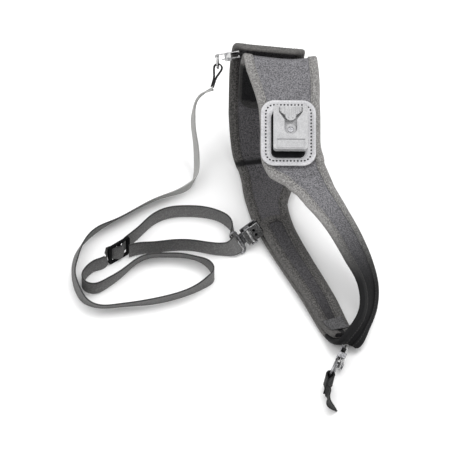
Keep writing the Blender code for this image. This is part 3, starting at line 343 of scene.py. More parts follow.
@dataclass(frozen=True)
class HeatherFabric:
    """Brushed laminate with a two-tone grain. The mesh's own numbers darken its lined side and mix in black,
    mostly as painted shade.
    """

    name: str
    outer: Vec
    lined: Vec
    black: Vec = (0.006, 0.006, 0.0065)
    grain_per_metre: float = 760.0

    def material(self) -> bpy.types.Material:
        """Builds the fabric."""
        graph = Graph(self.name)
        across, along = graph.strands()
        grain = graph.noise(self.grain_per_metre, 3.0).eased(0.36, 0.64)
        cloud = graph.noise(38.0, 2.0)
        knit = (across * (2 * math.pi / (1.1 * MM))).sine() * (along * (2 * math.pi / (1.3 * MM))).sine()
        base = graph.blend(graph.attribute("lined"), self.outer, self.lined)
        dark = graph.node("ShaderNodeVectorMath", {"operation": "SCALE"}, {0: base, "Scale": 0.55})
        light = graph.node("ShaderNodeVectorMath", {"operation": "SCALE"}, {0: base, "Scale": 1.48})
        colour = graph.blend(grain, dark, light)
        colour = graph.blend(cloud.eased(0.35, 0.75) * 0.16, colour, self.lined)
        # The dark numbers mix in black: painted shade round the front's lower end, in the back's crease and
        # towards the underarm's lower end, an even darkening of the underarm, and the black lining of the
        # front's tail.
        colour = graph.blend(graph.attribute("dark"), colour, self.black)
        height = grain * 0.6 + knit * 0.25 + cloud * 0.5
        normal = graph.bump(height, 0.55, 0.35 * MM)
        rough = 0.9 - grain * 0.08
        fixed = {"Sheen_Weight": 0.03, "Sheen_Roughness": 0.5, "Specular_IOR_Level": 0.12}
        return graph.finish(colour, rough, normal, **fixed)


@dataclass(frozen=True)
class BindingFabric:
    """Ribbed woven tape, a little lighter along its folded edge."""

    name: str
    colour: Vec
    fold: Vec
    dark: Vec = (0.007, 0.007, 0.0075)

    def material(self) -> bpy.types.Material:
        """Builds the tape."""
        graph = Graph(self.name)
        across, along = graph.strands()
        ribs = (along * (2 * math.pi / (0.9 * MM))).sine() * 0.5 + 0.5
        threads = (across * (2 * math.pi / (0.8 * MM))).sine() * 0.5 + 0.5
        fuzz = graph.noise(640.0, 3.0)
        colour = graph.blend(ribs * 0.2 + fuzz.eased(0.40, 0.64) * 0.8, self.colour, self.fold)
        colour = graph.blend(graph.attribute("edge") * 0.4, colour, self.fold)
        # The dark numbers mix in black: the layer's painted shade, and the black of the front's tail on the
        # tape's inner side.
        colour = graph.blend(graph.attribute("dark"), colour, self.dark)
        normal = graph.bump(ribs * 0.5 + threads * 0.3 + fuzz * 0.4, 0.6, 0.25 * MM)
        return graph.finish(colour, 0.82 - fuzz * 0.08, normal, Sheen_Weight=0.03, Specular_IOR_Level=0.15)


@dataclass(frozen=True)
class WebbingFabric:
    """Flat woven webbing: slanted ribs between two corded edges, with a painted highlight where the mesh says
    so.
    """

    name: str
    colour: Vec
    highlight_and_tone: Vec
    edge: Vec = (0.014, 0.014, 0.0145)

    def material(self) -> bpy.types.Material:
        """Builds the webbing."""
        graph = Graph(self.name)
        across, along = graph.strands()
        twill = ((across * 0.9 + along) * (2 * math.pi / (1.7 * MM))).sine() * 0.5 + 0.5
        cross = (across * (2 * math.pi / (1.25 * MM))).sine() * 0.5 + 0.5
        fuzz = graph.noise(640.0, 3.0)
        # The mesh's numbers paint a highlight, mostly on the chest strap's hanging part; twill and flecks
        # lighten the webbing a little at random.
        tone = graph.attribute("highlight_and_tone") + twill * 0.08 + fuzz.eased(0.40, 0.62) * 0.26 - 0.09
        colour = graph.blend(tone.eased(-0.10, 1.0), self.colour, self.highlight_and_tone)
        half = WEBBING_WIDTH / 2
        cord = (across * across).eased((half - 1.5 * MM) ** 2, (half - 0.6 * MM) ** 2)
        colour = graph.blend(cord * (1 - graph.attribute("highlight_and_tone")) * 0.8, colour, self.edge)
        normal = graph.bump(twill * 0.6 + cross * 0.3 + fuzz * 0.3, 0.7, 0.3 * MM)
        return graph.finish(colour, 0.72 + fuzz * 0.12, normal, Sheen_Weight=0.03, Specular_IOR_Level=0.2)


@dataclass(frozen=True)
class Moulding:
    """Moulded plastic with a fine spark-eroded grain and slightly rubbed patches."""

    name: str
    colour: Vec
    rubbed: Vec
    roughness: float
    grain: float = 0.35
    gloss: float = 0.45

    def material(self) -> bpy.types.Material:
        """Builds the plastic."""
        graph = Graph(self.name)
        fine = graph.noise(900.0, 3.0)
        patch = graph.noise(120.0, 3.0)
        wear = patch.eased(0.35, 0.75) * 0.4 + fine.eased(0.35, 0.65) * 0.6
        colour = graph.blend(wear, self.colour, self.rubbed)
        rough = (patch.eased(0.3, 0.8) * -0.12) + (self.roughness + 0.05) + fine * 0.06
        normal = graph.bump(fine, self.grain, 0.12 * MM)
        return graph.finish(colour, rough, normal, Specular_IOR_Level=self.gloss)


@dataclass(frozen=True)
class PlatedMetal:
    """Nickel-plated steel with drawn lines and small pits, duller in patches that also carry painted dark
    reflections.
    """

    name: str
    colour: Vec
    shade: Vec
    roughness: float

    def material(self) -> bpy.types.Material:
        """Builds the metal."""
        graph = Graph(self.name)
        inputs = {"Vector": graph.place(), "Scale": (220.0, 1900.0, 1900.0)}
        stretched = graph.node("ShaderNodeMapping", {}, inputs)
        lines = graph.noise(1.0, 2.0, stretched)
        patch = graph.noise(300.0, 3.0)
        pits = graph.noise(1500.0, 1.0).eased(0.62, 0.75)
        # Dark patches of the second colour are painted reflections; the pits darken it a little too.
        colour = graph.blend(patch.eased(0.42, 0.62) * 0.75 + pits * 0.15, self.colour, self.shade)
        rough = patch.eased(0.35, 0.8) * 0.16 + lines * 0.08 + self.roughness
        normal = graph.bump(lines * 0.4 - pits * 0.4, 0.25, 0.08 * MM)
        return graph.finish(colour, rough, normal, Metallic=1.0)


@dataclass(frozen=True)
class Thread:
    """Twisted sewing thread."""

    name: str
    colour: Vec
    glint: Vec

    def material(self) -> bpy.types.Material:
        """Builds the thread."""
        graph = Graph(self.name)
        twist = graph.noise(2200.0, 1.0)
        colour = graph.blend(twist.eased(0.3, 0.7), self.colour, self.glint)
        normal = graph.bump(twist, 0.5, 0.1 * MM)
        return graph.finish(colour, 0.6 + twist * 0.1, normal, Specular_IOR_Level=0.1)


PAD = HeatherFabric("pad_fabric", (0.152, 0.150, 0.159), (0.094, 0.091, 0.096))
BINDING = BindingFabric("binding_tape", (0.125, 0.122, 0.119), (0.310, 0.303, 0.296))
DARK_BINDING = BindingFabric("binding_tape_dark", (0.044, 0.042, 0.041), (0.150, 0.145, 0.140))
WEBBING = WebbingFabric("webbing", (0.118, 0.117, 0.117), (0.38, 0.38, 0.37))
DARK_WEBBING = WebbingFabric("webbing_dark", (0.012, 0.012, 0.0125), (0.060, 0.060, 0.061))
LINING = HeatherFabric("lining", (0.012, 0.012, 0.013), (0.008, 0.008, 0.009))
KEEPER = HeatherFabric("keeper_fabric", (0.070, 0.069, 0.071), (0.050, 0.049, 0.050))
FLANGE = Moulding("dock_flange", (0.400, 0.398, 0.414), (0.600, 0.598, 0.610), 0.62, gloss=0.35)
DOCK = Moulding("dock_moulding", (0.320, 0.320, 0.328), (0.470, 0.470, 0.475), 0.5, gloss=0.35)
BLACK = Moulding("dark_plastic", (0.003, 0.003, 0.0035), (0.008, 0.008, 0.009), 0.6, gloss=0.06)
NICKEL = PlatedMetal("bright_metal", (0.50, 0.50, 0.50), (0.11, 0.11, 0.115), 0.2)
# The same plating made darker for the side and lower clips' frames and bails: painted shade.
SHADED_NICKEL = PlatedMetal("shaded_metal", (0.28, 0.28, 0.29), (0.08, 0.08, 0.085), 0.3)
STEEL = PlatedMetal("spring_steel", (0.24, 0.24, 0.25), (0.14, 0.14, 0.15), 0.32)
FRONT_THREAD = Thread("front_thread", (0.030, 0.029, 0.029), (0.080, 0.078, 0.076))
DARK_THREAD = Thread("dark_thread", (0.006, 0.006, 0.0065), (0.016, 0.016, 0.017))


# ----------------------------------------------------------------------------------------------- meshes


def natural_spline(knots: Sequence[Sequence[float]], samples: int) -> tuple[Array, Array, Array]:
    """A natural cubic spline through rows of numbers, spaced by the distance of their first three.

    Args:
        knots: the rows.
        samples: how many rows come back.

    Returns:
        The rows, their distances, and the distances of the knots.
    """
    rows = np.asarray(knots, float)
    at = np.concatenate([[0], np.cumsum(np.linalg.norm(np.diff(rows[:, :3], axis=0), axis=1))])
    gaps, count = np.diff(at), len(rows)
    system, target = np.zeros((count, count)), np.zeros_like(rows)
    system[0, 0] = system[-1, -1] = 1
    for i in range(1, count - 1):
        system[i, i - 1 : i + 2] = gaps[i - 1], 2 * (gaps[i - 1] + gaps[i]), gaps[i]
        target[i] = 6 * ((rows[i + 1] - rows[i]) / gaps[i] - (rows[i] - rows[i - 1]) / gaps[i - 1])
    bend = np.linalg.solve(system, target)
    where = np.linspace(0, at[-1], samples)
    k = np.clip(np.searchsorted(at, where, side="right") - 1, 0, count - 2)
    before, after, gap = (at[k + 1] - where)[:, None], (where - at[k])[:, None], gaps[k][:, None]
    curve = (bend[k] * before**3 + bend[k + 1] * after**3) / (6 * gap)
    curve += (rows[k] / gap - bend[k] * gap / 6) * before
    curve += (rows[k + 1] / gap - bend[k + 1] * gap / 6) * after
    return curve, where, at


def unit(rows: Array) -> Array:
    """Rows scaled to length one."""
    return rows / np.linalg.norm(rows, axis=-1, keepdims=True)


def eased(value: Array, low: float, high: float) -> Array:
    """0 at low, 1 at high, smooth between."""
    share = np.clip((value - low) / (high - low), 0, 1)
    return share * share * (3 - 2 * share)


class Band:
    """A smooth route with a sideways direction, read by the distance along it."""

    def __init__(self, places: Sequence[Vec], sides: Sequence[Vec], samples: int = 4800) -> None:
        curve, self.where, self.at = natural_spline([(*p, *s) for p, s in zip(places, sides)], samples)
        self.points = curve[:, :3]
        steps = np.linalg.norm(np.diff(self.points, axis=0), axis=1)
        self.along = np.concatenate([[0], np.cumsum(steps)])
        self.length = float(self.along[-1])
        self.tangents = unit(np.gradient(self.points, axis=0))
        sides = curve[:, 3:]
        sides = sides - (sides * self.tangents).sum(1)[:, None] * self.tangents
        self.sides = unit(sides)
        self.normals = np.cross(self.tangents, self.sides)
        self.stations = np.interp(self.at, self.where, self.along)

    def read(self, rows: Array, distance: Array) -> Array:
        """A quantity at distances along the route."""
        return np.stack([np.interp(distance, self.along, rows[:, i]) for i in range(3)], axis=-1)

    def surface(self, distance: Array, across: Array, lift: Array) -> Array:
        """Points beside and above the route, carried straight on past its ends.

        Args:
            distance: distances along the route.
            across: distances sideways.
            lift: heights over the route.

        Returns:
            The points.
        """
        distance, across, lift = np.broadcast_arrays(distance, across, lift)
        inside = np.clip(distance, 0.0, self.length)
        past = (distance - inside)[..., None]
        place = self.read(self.points, inside) + self.read(self.tangents, inside) * past
        place = place + self.read(self.sides, inside) * across[..., None]
        return place + self.read(self.normals, inside) * lift[..., None]


def ring_mesh(name: str, rings: Array) -> bpy.types.Mesh:
    """A mesh swept through rings of points.

    Args:
        name: the mesh's name.
        rings: points, by ring and place in the ring.

    Returns:
        The mesh, filled at its first and last ring, with its faces pointing out.
    """
    count, size = rings.shape[:2]
    faces = []
    for i in range(count - 1):
        for k in range(size):
            m = (k + 1) % size
            faces.append((i * size + k, i * size + m, (i + 1) * size + m, (i + 1) * size + k))
    faces.append(tuple(reversed(range(size))))
    faces.append(tuple(range((count - 1) * size, count * size)))
    mesh = bpy.data.meshes.new(name)
    mesh.from_pydata(rings.reshape(-1, 3).tolist(), [], faces)
    shape = bmesh.new()
    shape.from_mesh(mesh)
    if shape.calc_volume(signed=True) < 0:
        bmesh.ops.reverse_faces(shape, faces=shape.faces)
    shape.to_mesh(mesh)
    shape.free()
    mesh.shade_smooth()
    return mesh


def set_numbers(mesh: bpy.types.Mesh, name: str, values: Array) -> None:
    """Stores one number for each vertex."""
    layer = mesh.attributes.new(name, "FLOAT", "POINT")
    layer.data.foreach_set("value", np.asarray(values, np.float32).ravel())


def set_cloth_map(mesh: bpy.types.Mesh, across: Array, along: Array) -> None:
    """Stores the distances across and along a strap as its own map, in metres."""
    layer = mesh.uv_layers.new(name="cloth")
    order = np.empty(len(mesh.loops), np.int32)
    mesh.loops.foreach_get("vertex_index", order)
    pairs = np.stack([np.asarray(across).ravel()[order], np.asarray(along).ravel()[order]], axis=1)
    layer.data.foreach_set("uv", pairs.astype(np.float32).ravel())


def new_piece(name: str, mesh: bpy.types.Mesh, material: bpy.types.Material) -> bpy.types.Object:
    """A linked piece with its material."""
    piece = bpy.data.objects.new(name, mesh)
    bpy.context.scene.collection.objects.link(piece)
    mesh.materials.clear()
    mesh.materials.append(material)
    return piece


def stand_for(piece: bpy.types.Object, body: str, slot: str, *nodes: str) -> None:
    """Rides a piece on a body, in the place of solids if any are named."""
    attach(piece, body)
    if nodes:
        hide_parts(*nodes)


def evaluated_mesh(piece: bpy.types.Object) -> bpy.types.Mesh:
    """The mesh that a piece's modifiers make."""
    graph = bpy.context.evaluated_depsgraph_get()
    graph.update()
    return bpy.data.meshes.new_from_object(piece.evaluated_get(graph))


def bake(piece: bpy.types.Object) -> bpy.types.Object:
    """Turns a piece's modifiers into its plain mesh."""
    mesh = evaluated_mesh(piece)
    piece.modifiers.clear()
    piece.data = mesh
    return piece


def refine(piece: bpy.types.Object, levels: int = 1) -> bpy.types.Object:
    """Smooths a piece with subdivision."""
    modifier = piece.modifiers.new("smoothing", "SUBSURF")
    modifier.levels = modifier.render_levels = levels
    return bake(piece)


def puff(piece: bpy.types.Object, pinned: Array, pressure: float, cap: float) -> bpy.types.Object:
    """Swells a padded skin with a short cloth simulation.

    Args:
        piece: the skin.
        pinned: one number for each vertex, 1 where it is sewn down.
        pressure: the air pressure inside.
        cap: the furthest that a point may move.

    Returns:
        The piece, with the result in its mesh.
    """
    start = np.empty(len(piece.data.vertices) * 3)
    piece.data.vertices.foreach_get("co", start)
    group = piece.vertex_groups.new(name="sewn")
    for index, weight in enumerate(pinned):
        if weight > 0:
            group.add([index], float(weight), "REPLACE")
    cloth = piece.modifiers.new("air", "CLOTH")
    cloth.settings.vertex_group_mass = group.name
    cloth.settings.use_pressure = True
    cloth.settings.uniform_pressure_force = pressure
    cloth.settings.effector_weights.gravity = 0.0
    cloth.settings.quality = 6
    cloth.settings.tension_stiffness = cloth.settings.compression_stiffness = 12
    cloth.point_cache.frame_start, cloth.point_cache.frame_end = 1, 18
    scene = bpy.context.scene
    for step in range(1, 19):
        scene.frame_set(step)
    mesh = evaluated_mesh(piece)
    piece.modifiers.clear()
    piece.vertex_groups.clear()
    moved = np.empty_like(start)
    mesh.vertices.foreach_get("co", moved)
    shift = (moved - start).reshape(-1, 3)
    length = np.maximum(np.linalg.norm(shift, axis=1, keepdims=True), 1e-9)
    shift = shift / length * cap * np.tanh(length / cap)
    piece.data.vertices.foreach_set("co", start + shift.ravel())
    piece.data.update()
    scene.frame_set(1)
    return piece


# ----------------------------------------------------------------------------------------------- stitches


class SeamTree:
    """A Geometry Nodes tree that sets one small bead on a seam at every pitch.

    The seam is a chain of edges whose points store the direction that the seam faces.
    """

    def __init__(self, name: str, material: bpy.types.Material) -> None:
        self.tree = bpy.data.node_groups.new(name, "GeometryNodeTree")
        self.material = material
        face = self.tree.interface
        face.new_socket("Seam", in_out="INPUT", socket_type="NodeSocketGeometry")
        for label in ("Pitch", "Length", "Width", "Height"):
            face.new_socket(label, in_out="INPUT", socket_type="NodeSocketFloat")
        face.new_socket("Stitches", in_out="OUTPUT", socket_type="NodeSocketGeometry")
        self._build()

    def _add(self, kind: str, **settings: object) -> bpy.types.Node:
        node = self.tree.nodes.new(kind)
        for name, value in settings.items():
            setattr(node, name, value)
        return node

    def _build(self) -> None:
        link = self.tree.links.new
        given, out = self._add("NodeGroupInput"), self._add("NodeGroupOutput")
        curve = self._add("GeometryNodeMeshToCurve")
        points = self._add("GeometryNodeCurveToPoints", mode="LENGTH")
        bead = self._add("GeometryNodeMeshUVSphere")
        bead.inputs["Segments"].default_value = 7
        bead.inputs["Rings"].default_value = 5
        bead.inputs["Radius"].default_value = 0.5
        size = self._add("ShaderNodeCombineXYZ")
        facing = self._add("GeometryNodeInputNamedAttribute", data_type="FLOAT_VECTOR")
        facing.inputs["Name"].default_value = "facing"
        heading = self._add("FunctionNodeAlignRotationToVector", axis="X")
        upright = self._add("FunctionNodeAlignRotationToVector", axis="Z", pivot_axis="X")
        instances = self._add("GeometryNodeInstanceOnPoints")
        real = self._add("GeometryNodeRealizeInstances")
        smooth = self._add("GeometryNodeSetShadeSmooth")
        paint = self._add("GeometryNodeSetMaterial")
        paint.inputs["Material"].default_value = self.material
        link(given.outputs["Seam"], curve.inputs["Mesh"])
        link(curve.outputs["Curve"], points.inputs["Curve"])
        link(given.outputs["Pitch"], points.inputs["Length"])
        link(points.outputs["Tangent"], heading.inputs["Vector"])
        link(heading.outputs["Rotation"], upright.inputs["Rotation"])
        link(facing.outputs["Attribute"], upright.inputs["Vector"])
        for label, key in (("Length", "X"), ("Width", "Y"), ("Height", "Z")):
            link(given.outputs[label], size.inputs[key])
        link(points.outputs["Points"], instances.inputs["Points"])
        link(bead.outputs["Mesh"], instances.inputs["Instance"])
        link(upright.outputs["Rotation"], instances.inputs["Rotation"])
        link(size.outputs["Vector"], instances.inputs["Scale"])
        link(instances.outputs["Instances"], real.inputs["Geometry"])
        link(real.outputs["Geometry"], smooth.inputs["Geometry"])
        link(smooth.outputs["Geometry"], paint.inputs["Geometry"])
        link(paint.outputs["Geometry"], out.inputs["Stitches"])

    def sew(self, name: str, seams: Sequence[Seam], pitch: float, size: Vec) -> bpy.types.Object:
        """Sews stitches along seams.

        Args:
            name: the piece's name.
            seams: for each seam its points and the directions that it faces.
            pitch: the distance from one stitch to the next.
            size: a stitch's length, width and height.

        Returns:
            The stitches as one plain piece.
        """
        points, normals, edges = [], [], []
        for row, facing in seams:
            first = len(points)
            points += [tuple(p) for p in row]
            normals += [tuple(n) for n in facing]
            edges += [(first + i, first + i + 1) for i in range(len(row) - 1)]
        mesh = bpy.data.meshes.new(name)
        mesh.from_pydata(points, edges, [])
        layer = mesh.attributes.new("facing", "FLOAT_VECTOR", "POINT")
        layer.data.foreach_set("vector", np.asarray(normals, np.float32).ravel())
        piece = bpy.data.objects.new(name, mesh)
        bpy.context.scene.collection.objects.link(piece)
        modifier = piece.modifiers.new("seam", "NODES")
        modifier.node_group = self.tree
        keys = {i.name: i.identifier for i in self.tree.interface.items_tree if i.in_out == "INPUT"}
        for label, value in (("Pitch", pitch), ("Length", size[0]), ("Width", size[1]), ("Height", size[2])):
            modifier[keys[label]] = float(value)
        return bake(piece)


# ----------------------------------------------------------------------------------------------- the loop


@dataclass
class Loop:
    """The route of the padded loop with its half widths."""

    band: Band = field(init=False)
    lefts: Array = field(init=False)
    rights: Array = field(init=False)

    def __post_init__(self) -> None:
        """Reads the stations."""
        rows = np.array(LOOP_STATIONS, float)
        places = rows[:, :3] * MM - ORIGIN + np.array((0, 0, LYING_LIFT))
        self.band = Band([tuple(p) for p in places], [tuple(s) for s in rows[:, 3:6]])
        self.lefts = np.interp(self.band.where, self.band.at, rows[:, 6] * MM)
        self.rights = np.interp(self.band.where, self.band.at, rows[:, 7] * MM)

    def station(self, index: int) -> float:
        """The distance of a station."""
        return float(self.band.stations[index])

    def half(self, distance: Array, hand: int) -> Array:
        """The half width on a hand, -1 left or 1 right."""
        return np.interp(distance, self.band.along, self.lefts if hand < 0 else self.rights)


@dataclass
class PaddedLayer:
    """One padded layer of the loop with its folded binding and seams.

    It is square at its first end and round at its last.
    """

    name: str
    loop: Loop
    start: float
    end: float
    offset: Callable[[Array], Array]
    inset: tuple[float, float] = (0.0, 0.0)
    swell: float = 1.3 * MM
    pressure: float = 2.2
    row_step: float = 3.0 * MM
    columns: int = 21
    tape_shade: float = 1.0

    @property
    def sign(self) -> int:
        """1 where the layer runs with the route, -1 where it runs against it."""
        return 1 if self.end > self.start else -1

    def rows(self, step: float) -> Array:
        """Distances of the cross rows, with close rows round the end's corners."""
        turn = self.end - self.sign * END_RADIUS
        count = max(int(abs(turn - self.start) / step), 2)
        corner = self.end - self.sign * END_RADIUS * (1 - np.sin(np.radians(np.arange(8, 90, 8))))
        return np.concatenate([np.linspace(self.start, turn, count), corner, [self.end]])

    def half(self, distance: Array, hand: int) -> Array:
        """The half width on a hand, rounded in at the end."""
        width = self.loop.half(distance, hand) - self.inset[0 if hand < 0 else 1]
        over = np.clip(END_RADIUS - np.abs(self.end - distance), 0, END_RADIUS)
        return width - (END_RADIUS - np.sqrt(np.maximum(END_RADIUS**2 - over**2, 0)))

    def point(self, distance: Array, across: Array, lift: Array) -> Array:
        """Points of the layer at a lift over its middle."""
        return self.loop.band.surface(distance, across, self.offset(distance) + lift)

    def facing(self, distance: Array, side: Side) -> Array:
        """The directions that a side of the layer faces."""
        inside = np.clip(distance, 0, self.loop.band.length)
        return self.loop.band.read(self.loop.band.normals, inside) * side.value

    def darkness(self, distance: Array, inner: Array) -> Array:
        """How far the fabric is mixed towards black, mostly painted shade. A plain layer has none."""
        return np.zeros(np.broadcast(distance, inner).shape)

    def edge_path(self, rows: Array) -> tuple[Array, Array]:
        """The outline from the first end round to it again, as distances along and across."""
        along = np.concatenate([rows, rows[::-1]])
        across = np.concatenate([-self.half(rows, -1), self.half(rows[::-1], 1)])
        keep = np.concatenate([[True], np.hypot(np.diff(along), np.diff(across)) > 0.2 * MM])
        return along[keep], across[keep]

    def inward(self, along: Array, across: Array) -> tuple[Array, Array]:
        """The direction from the outline into the layer, along and across."""
        step_along, step_across = np.gradient(along), np.gradient(across)
        length = np.hypot(step_along, step_across)
        return -step_across / length * self.sign, step_along / length * self.sign

    def build_pad(self, fabric: bpy.types.Material) -> bpy.types.Object:
        """Builds the padded body.

        Args:
            fabric: its material.

        Returns:
            The piece.
        """
        rows = self.rows(self.row_step)[:, None]
        share = np.linspace(-1, 1, self.columns)
        share = np.sign(share) * (1 - (1 - np.abs(share)) ** 1.25)
        left, right = -self.half(rows, -1), self.half(rows, 1)
        across = (left + right) / 2 + share[None, :] * (right - left) / 2
        from_edge = np.minimum(across - left, right - across)
        thick = PANEL_THICKNESS / 2 * np.sqrt(np.clip(from_edge / (2.0 * MM), 0.12, 1))
        top = self.point(rows, across, thick)
        bottom = self.point(rows, across, -thick)
        rings = np.concatenate([top, bottom[:, ::-1]], axis=1)
        mesh = ring_mesh(f"{self.name}_pad", rings)
        flat = np.concatenate([across, across[:, ::-1]], axis=1)
        along = np.broadcast_to(rows, flat.shape)
        inner = np.concatenate([np.zeros_like(across), np.ones_like(across)], axis=1)
        reach = np.concatenate([from_edge, from_edge[:, ::-1]], axis=1)
        ends = np.minimum(np.abs(along - self.start), np.abs(along - self.end))
        set_numbers(mesh, "lined", inner)
        set_numbers(mesh, "dark", self.darkness(along, inner))
        set_cloth_map(mesh, flat, along)
        piece = new_piece(f"{self.name}_pad", mesh, fabric)
        pinned = (np.minimum(reach, ends) < TAPE_REACH - 0.5 * MM).astype(float).ravel()
        puff(piece, pinned, self.pressure, self.swell)
        return refine(piece)

    def build_binding(self, tape: bpy.types.Material) -> bpy.types.Object:
        """Builds the tape folded round the outline.

        Args:
            tape: its material.

        Returns:
            The piece.
        """
        along, across = self.edge_path(self.rows(2.6 * MM))
        into_along, into_across = self.inward(along, across)
        inner = PANEL_THICKNESS / 2 + TAPE_CLEARANCE * 0.4
        outer = PANEL_THICKNESS / 2 + TAPE_CLEARANCE + TAPE_THICKNESS
        centre = outer - TAPE_CLEARANCE - TAPE_THICKNESS
        arc = np.radians(np.arange(90, 271, 20))
        outside = [(TAPE_REACH, outer - 0.45 * MM), (TAPE_REACH - 0.5 * MM, outer - 0.1 * MM)]
        outside += [(0.62 * TAPE_REACH, outer - 0.15 * MM), (0.45 * TAPE_REACH, outer)]
        outside += [(centre + outer * math.cos(a), outer * math.sin(a)) for a in arc]
        outside += [(a, -b) for a, b in outside[3::-1]]
        arc = arc[::-1]
        inside = [(TAPE_REACH - 0.1 * MM, -inner)]
        inside += [(centre + inner * math.cos(a), inner * math.sin(a)) for a in arc]
        inside += [(TAPE_REACH - 0.1 * MM, inner)]
        profile = np.array(outside + inside)
        pucker = 0.12 * MM * np.sin(along * 2 * math.pi / (6.4 * MM) + across * 90)[:, None]
        lift = profile[None, :, 1] + np.sign(profile[None, :, 1]) * pucker * (profile[None, :, 0] > 2 * MM)
        rows = along[:, None] + into_along[:, None] * profile[None, :, 0]
        cols = across[:, None] + into_across[:, None] * profile[None, :, 0]
        mesh = ring_mesh(f"{self.name}_binding_tape", self.point(rows, cols, lift))
        ahead = np.concatenate([[0], np.cumsum(np.hypot(np.diff(along), np.diff(across)))])
        girth = np.broadcast_to(profile.sum(1)[None, :], rows.shape)
        set_cloth_map(mesh, girth, np.broadcast_to(ahead[:, None], rows.shape))
        fold = 1 - eased(profile[None, :, 0], -1.0 * MM, 2.5 * MM)
        set_numbers(mesh, "edge", np.broadcast_to(fold, rows.shape))
        # The tape takes its layer's darkness: painted shade, and on the front's tail that tail's black on the
        # inner side.
        side_mask = (profile[None, :, 1] < 0).astype(float)
        dark = self.darkness(rows, np.broadcast_to(side_mask, rows.shape))
        set_numbers(mesh, "dark", dark * self.tape_shade)
        return new_piece(f"{self.name}_binding_tape", mesh, tape)

    def seams(self, depth: float, sides: Sequence[Side]) -> list[Seam]:
        """The seams that sew the binding down, at a depth from the outline."""
        along, across = self.edge_path(self.rows(2.6 * MM))
        into_along, into_across = self.inward(along, across)
        rows, cols = along + into_along * depth, across + into_across * depth
        height = PANEL_THICKNESS / 2 + TAPE_CLEARANCE + TAPE_THICKNESS - 0.05 * MM
        return [(self.point(rows, cols, height * side.value), self.facing(rows, side)) for side in sides]

    def cross_seam(self, distance: float, side: Side, slant: float = 0.0, margin: float = 9 * MM) -> Seam:
        """A seam across the layer, slanted by a distance from its left to its right end."""
        share = np.linspace(0, 1, 24)
        left, right = self.half(np.array(distance), -1) - margin, self.half(np.array(distance), 1) - margin
        across = -left + share * (left + right)
        rows = distance + slant * (share - 0.5)
        lift = (PANEL_THICKNESS / 2 + self.swell * 0.55) * side.value
        return self.point(rows, across, lift), self.facing(rows, side)

    def build(self, fabric: bpy.types.Material, tape: bpy.types.Material, seam: SeamTree) -> bpy.types.Object:
        """Args:
            fabric: the pad's material.
            tape: the binding's material.
            seam: the tree that sews.

        Returns:
            The padded body.
        """
        pad = self.build_pad(fabric)
        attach(pad, ROOT_BODY)
        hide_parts(f"{self.name}_panel")
        binding = self.build_binding(tape)
        stand_for(binding, ROOT_BODY, "binding_tape", f"{self.name}_binding")
        lines = self.seams(TAPE_REACH - 1.6 * MM, (Side.OUTER, Side.INNER))
        stitches = seam.sew(f"{self.name}_binding_stitches", lines, 3.3 * MM, (2.3 * MM, 0.62 * MM, 0.5 * MM))
        stand_for(stitches, ROOT_BODY, "binding_tape")
        LOG.info("%s layer: %d faces in the pad", self.name, len(pad.data.polygons))
        return pad


@dataclass
class FrontLayer(PaddedLayer):
    """The layer that carries the dock. Its tail inside the crest is lined in black, and painted shade darkens
    its lower end.
    """

    lined_end: float = 56 * MM
    painted_shade_from: float = 0.0
    painted_shade_to: float = 0.0

    def darkness(self, distance: Array, inner: Array) -> Array:
        """Black on the inner face of the tail, and painted shade round the lower end."""
        tail = inner * (1 - eased(distance, self.lined_end - 6 * MM, self.lined_end)) * 0.85
        return np.maximum(tail, eased(distance, self.painted_shade_from, self.painted_shade_to))


@dataclass
class UnderarmLayer(PaddedLayer):
    """The shorter layer that lies over the back layer, evenly darker and with painted shade towards its lower
    end.
    """

    shade_reach: float = 95 * MM
    tape_shade: float = 0.35

    def darkness(self, distance: Array, inner: Array) -> Array:
        """Evenly darker, with painted shade deepening near the lower end."""
        low = 1 - eased(distance, self.start, self.start + self.shade_reach)
        return np.broadcast_to(0.46 + 0.46 * low, np.broadcast(distance, inner).shape)


@dataclass
class BackLayer(PaddedLayer):
    """The layer that lies on the surface and rises up the back, with a band of painted shade where it turns
    up.
    """

    crease: float = 0.0

    def darkness(self, distance: Array, inner: Array) -> Array:
        """Painted shade in the crease band, on the inner face."""
        band = eased(distance, self.crease - 4.5 * MM, self.crease - 3 * MM)
        band = band * (1 - eased(distance, self.crease + 3 * MM, self.crease + 4.5 * MM))
        return band * inner * 0.9


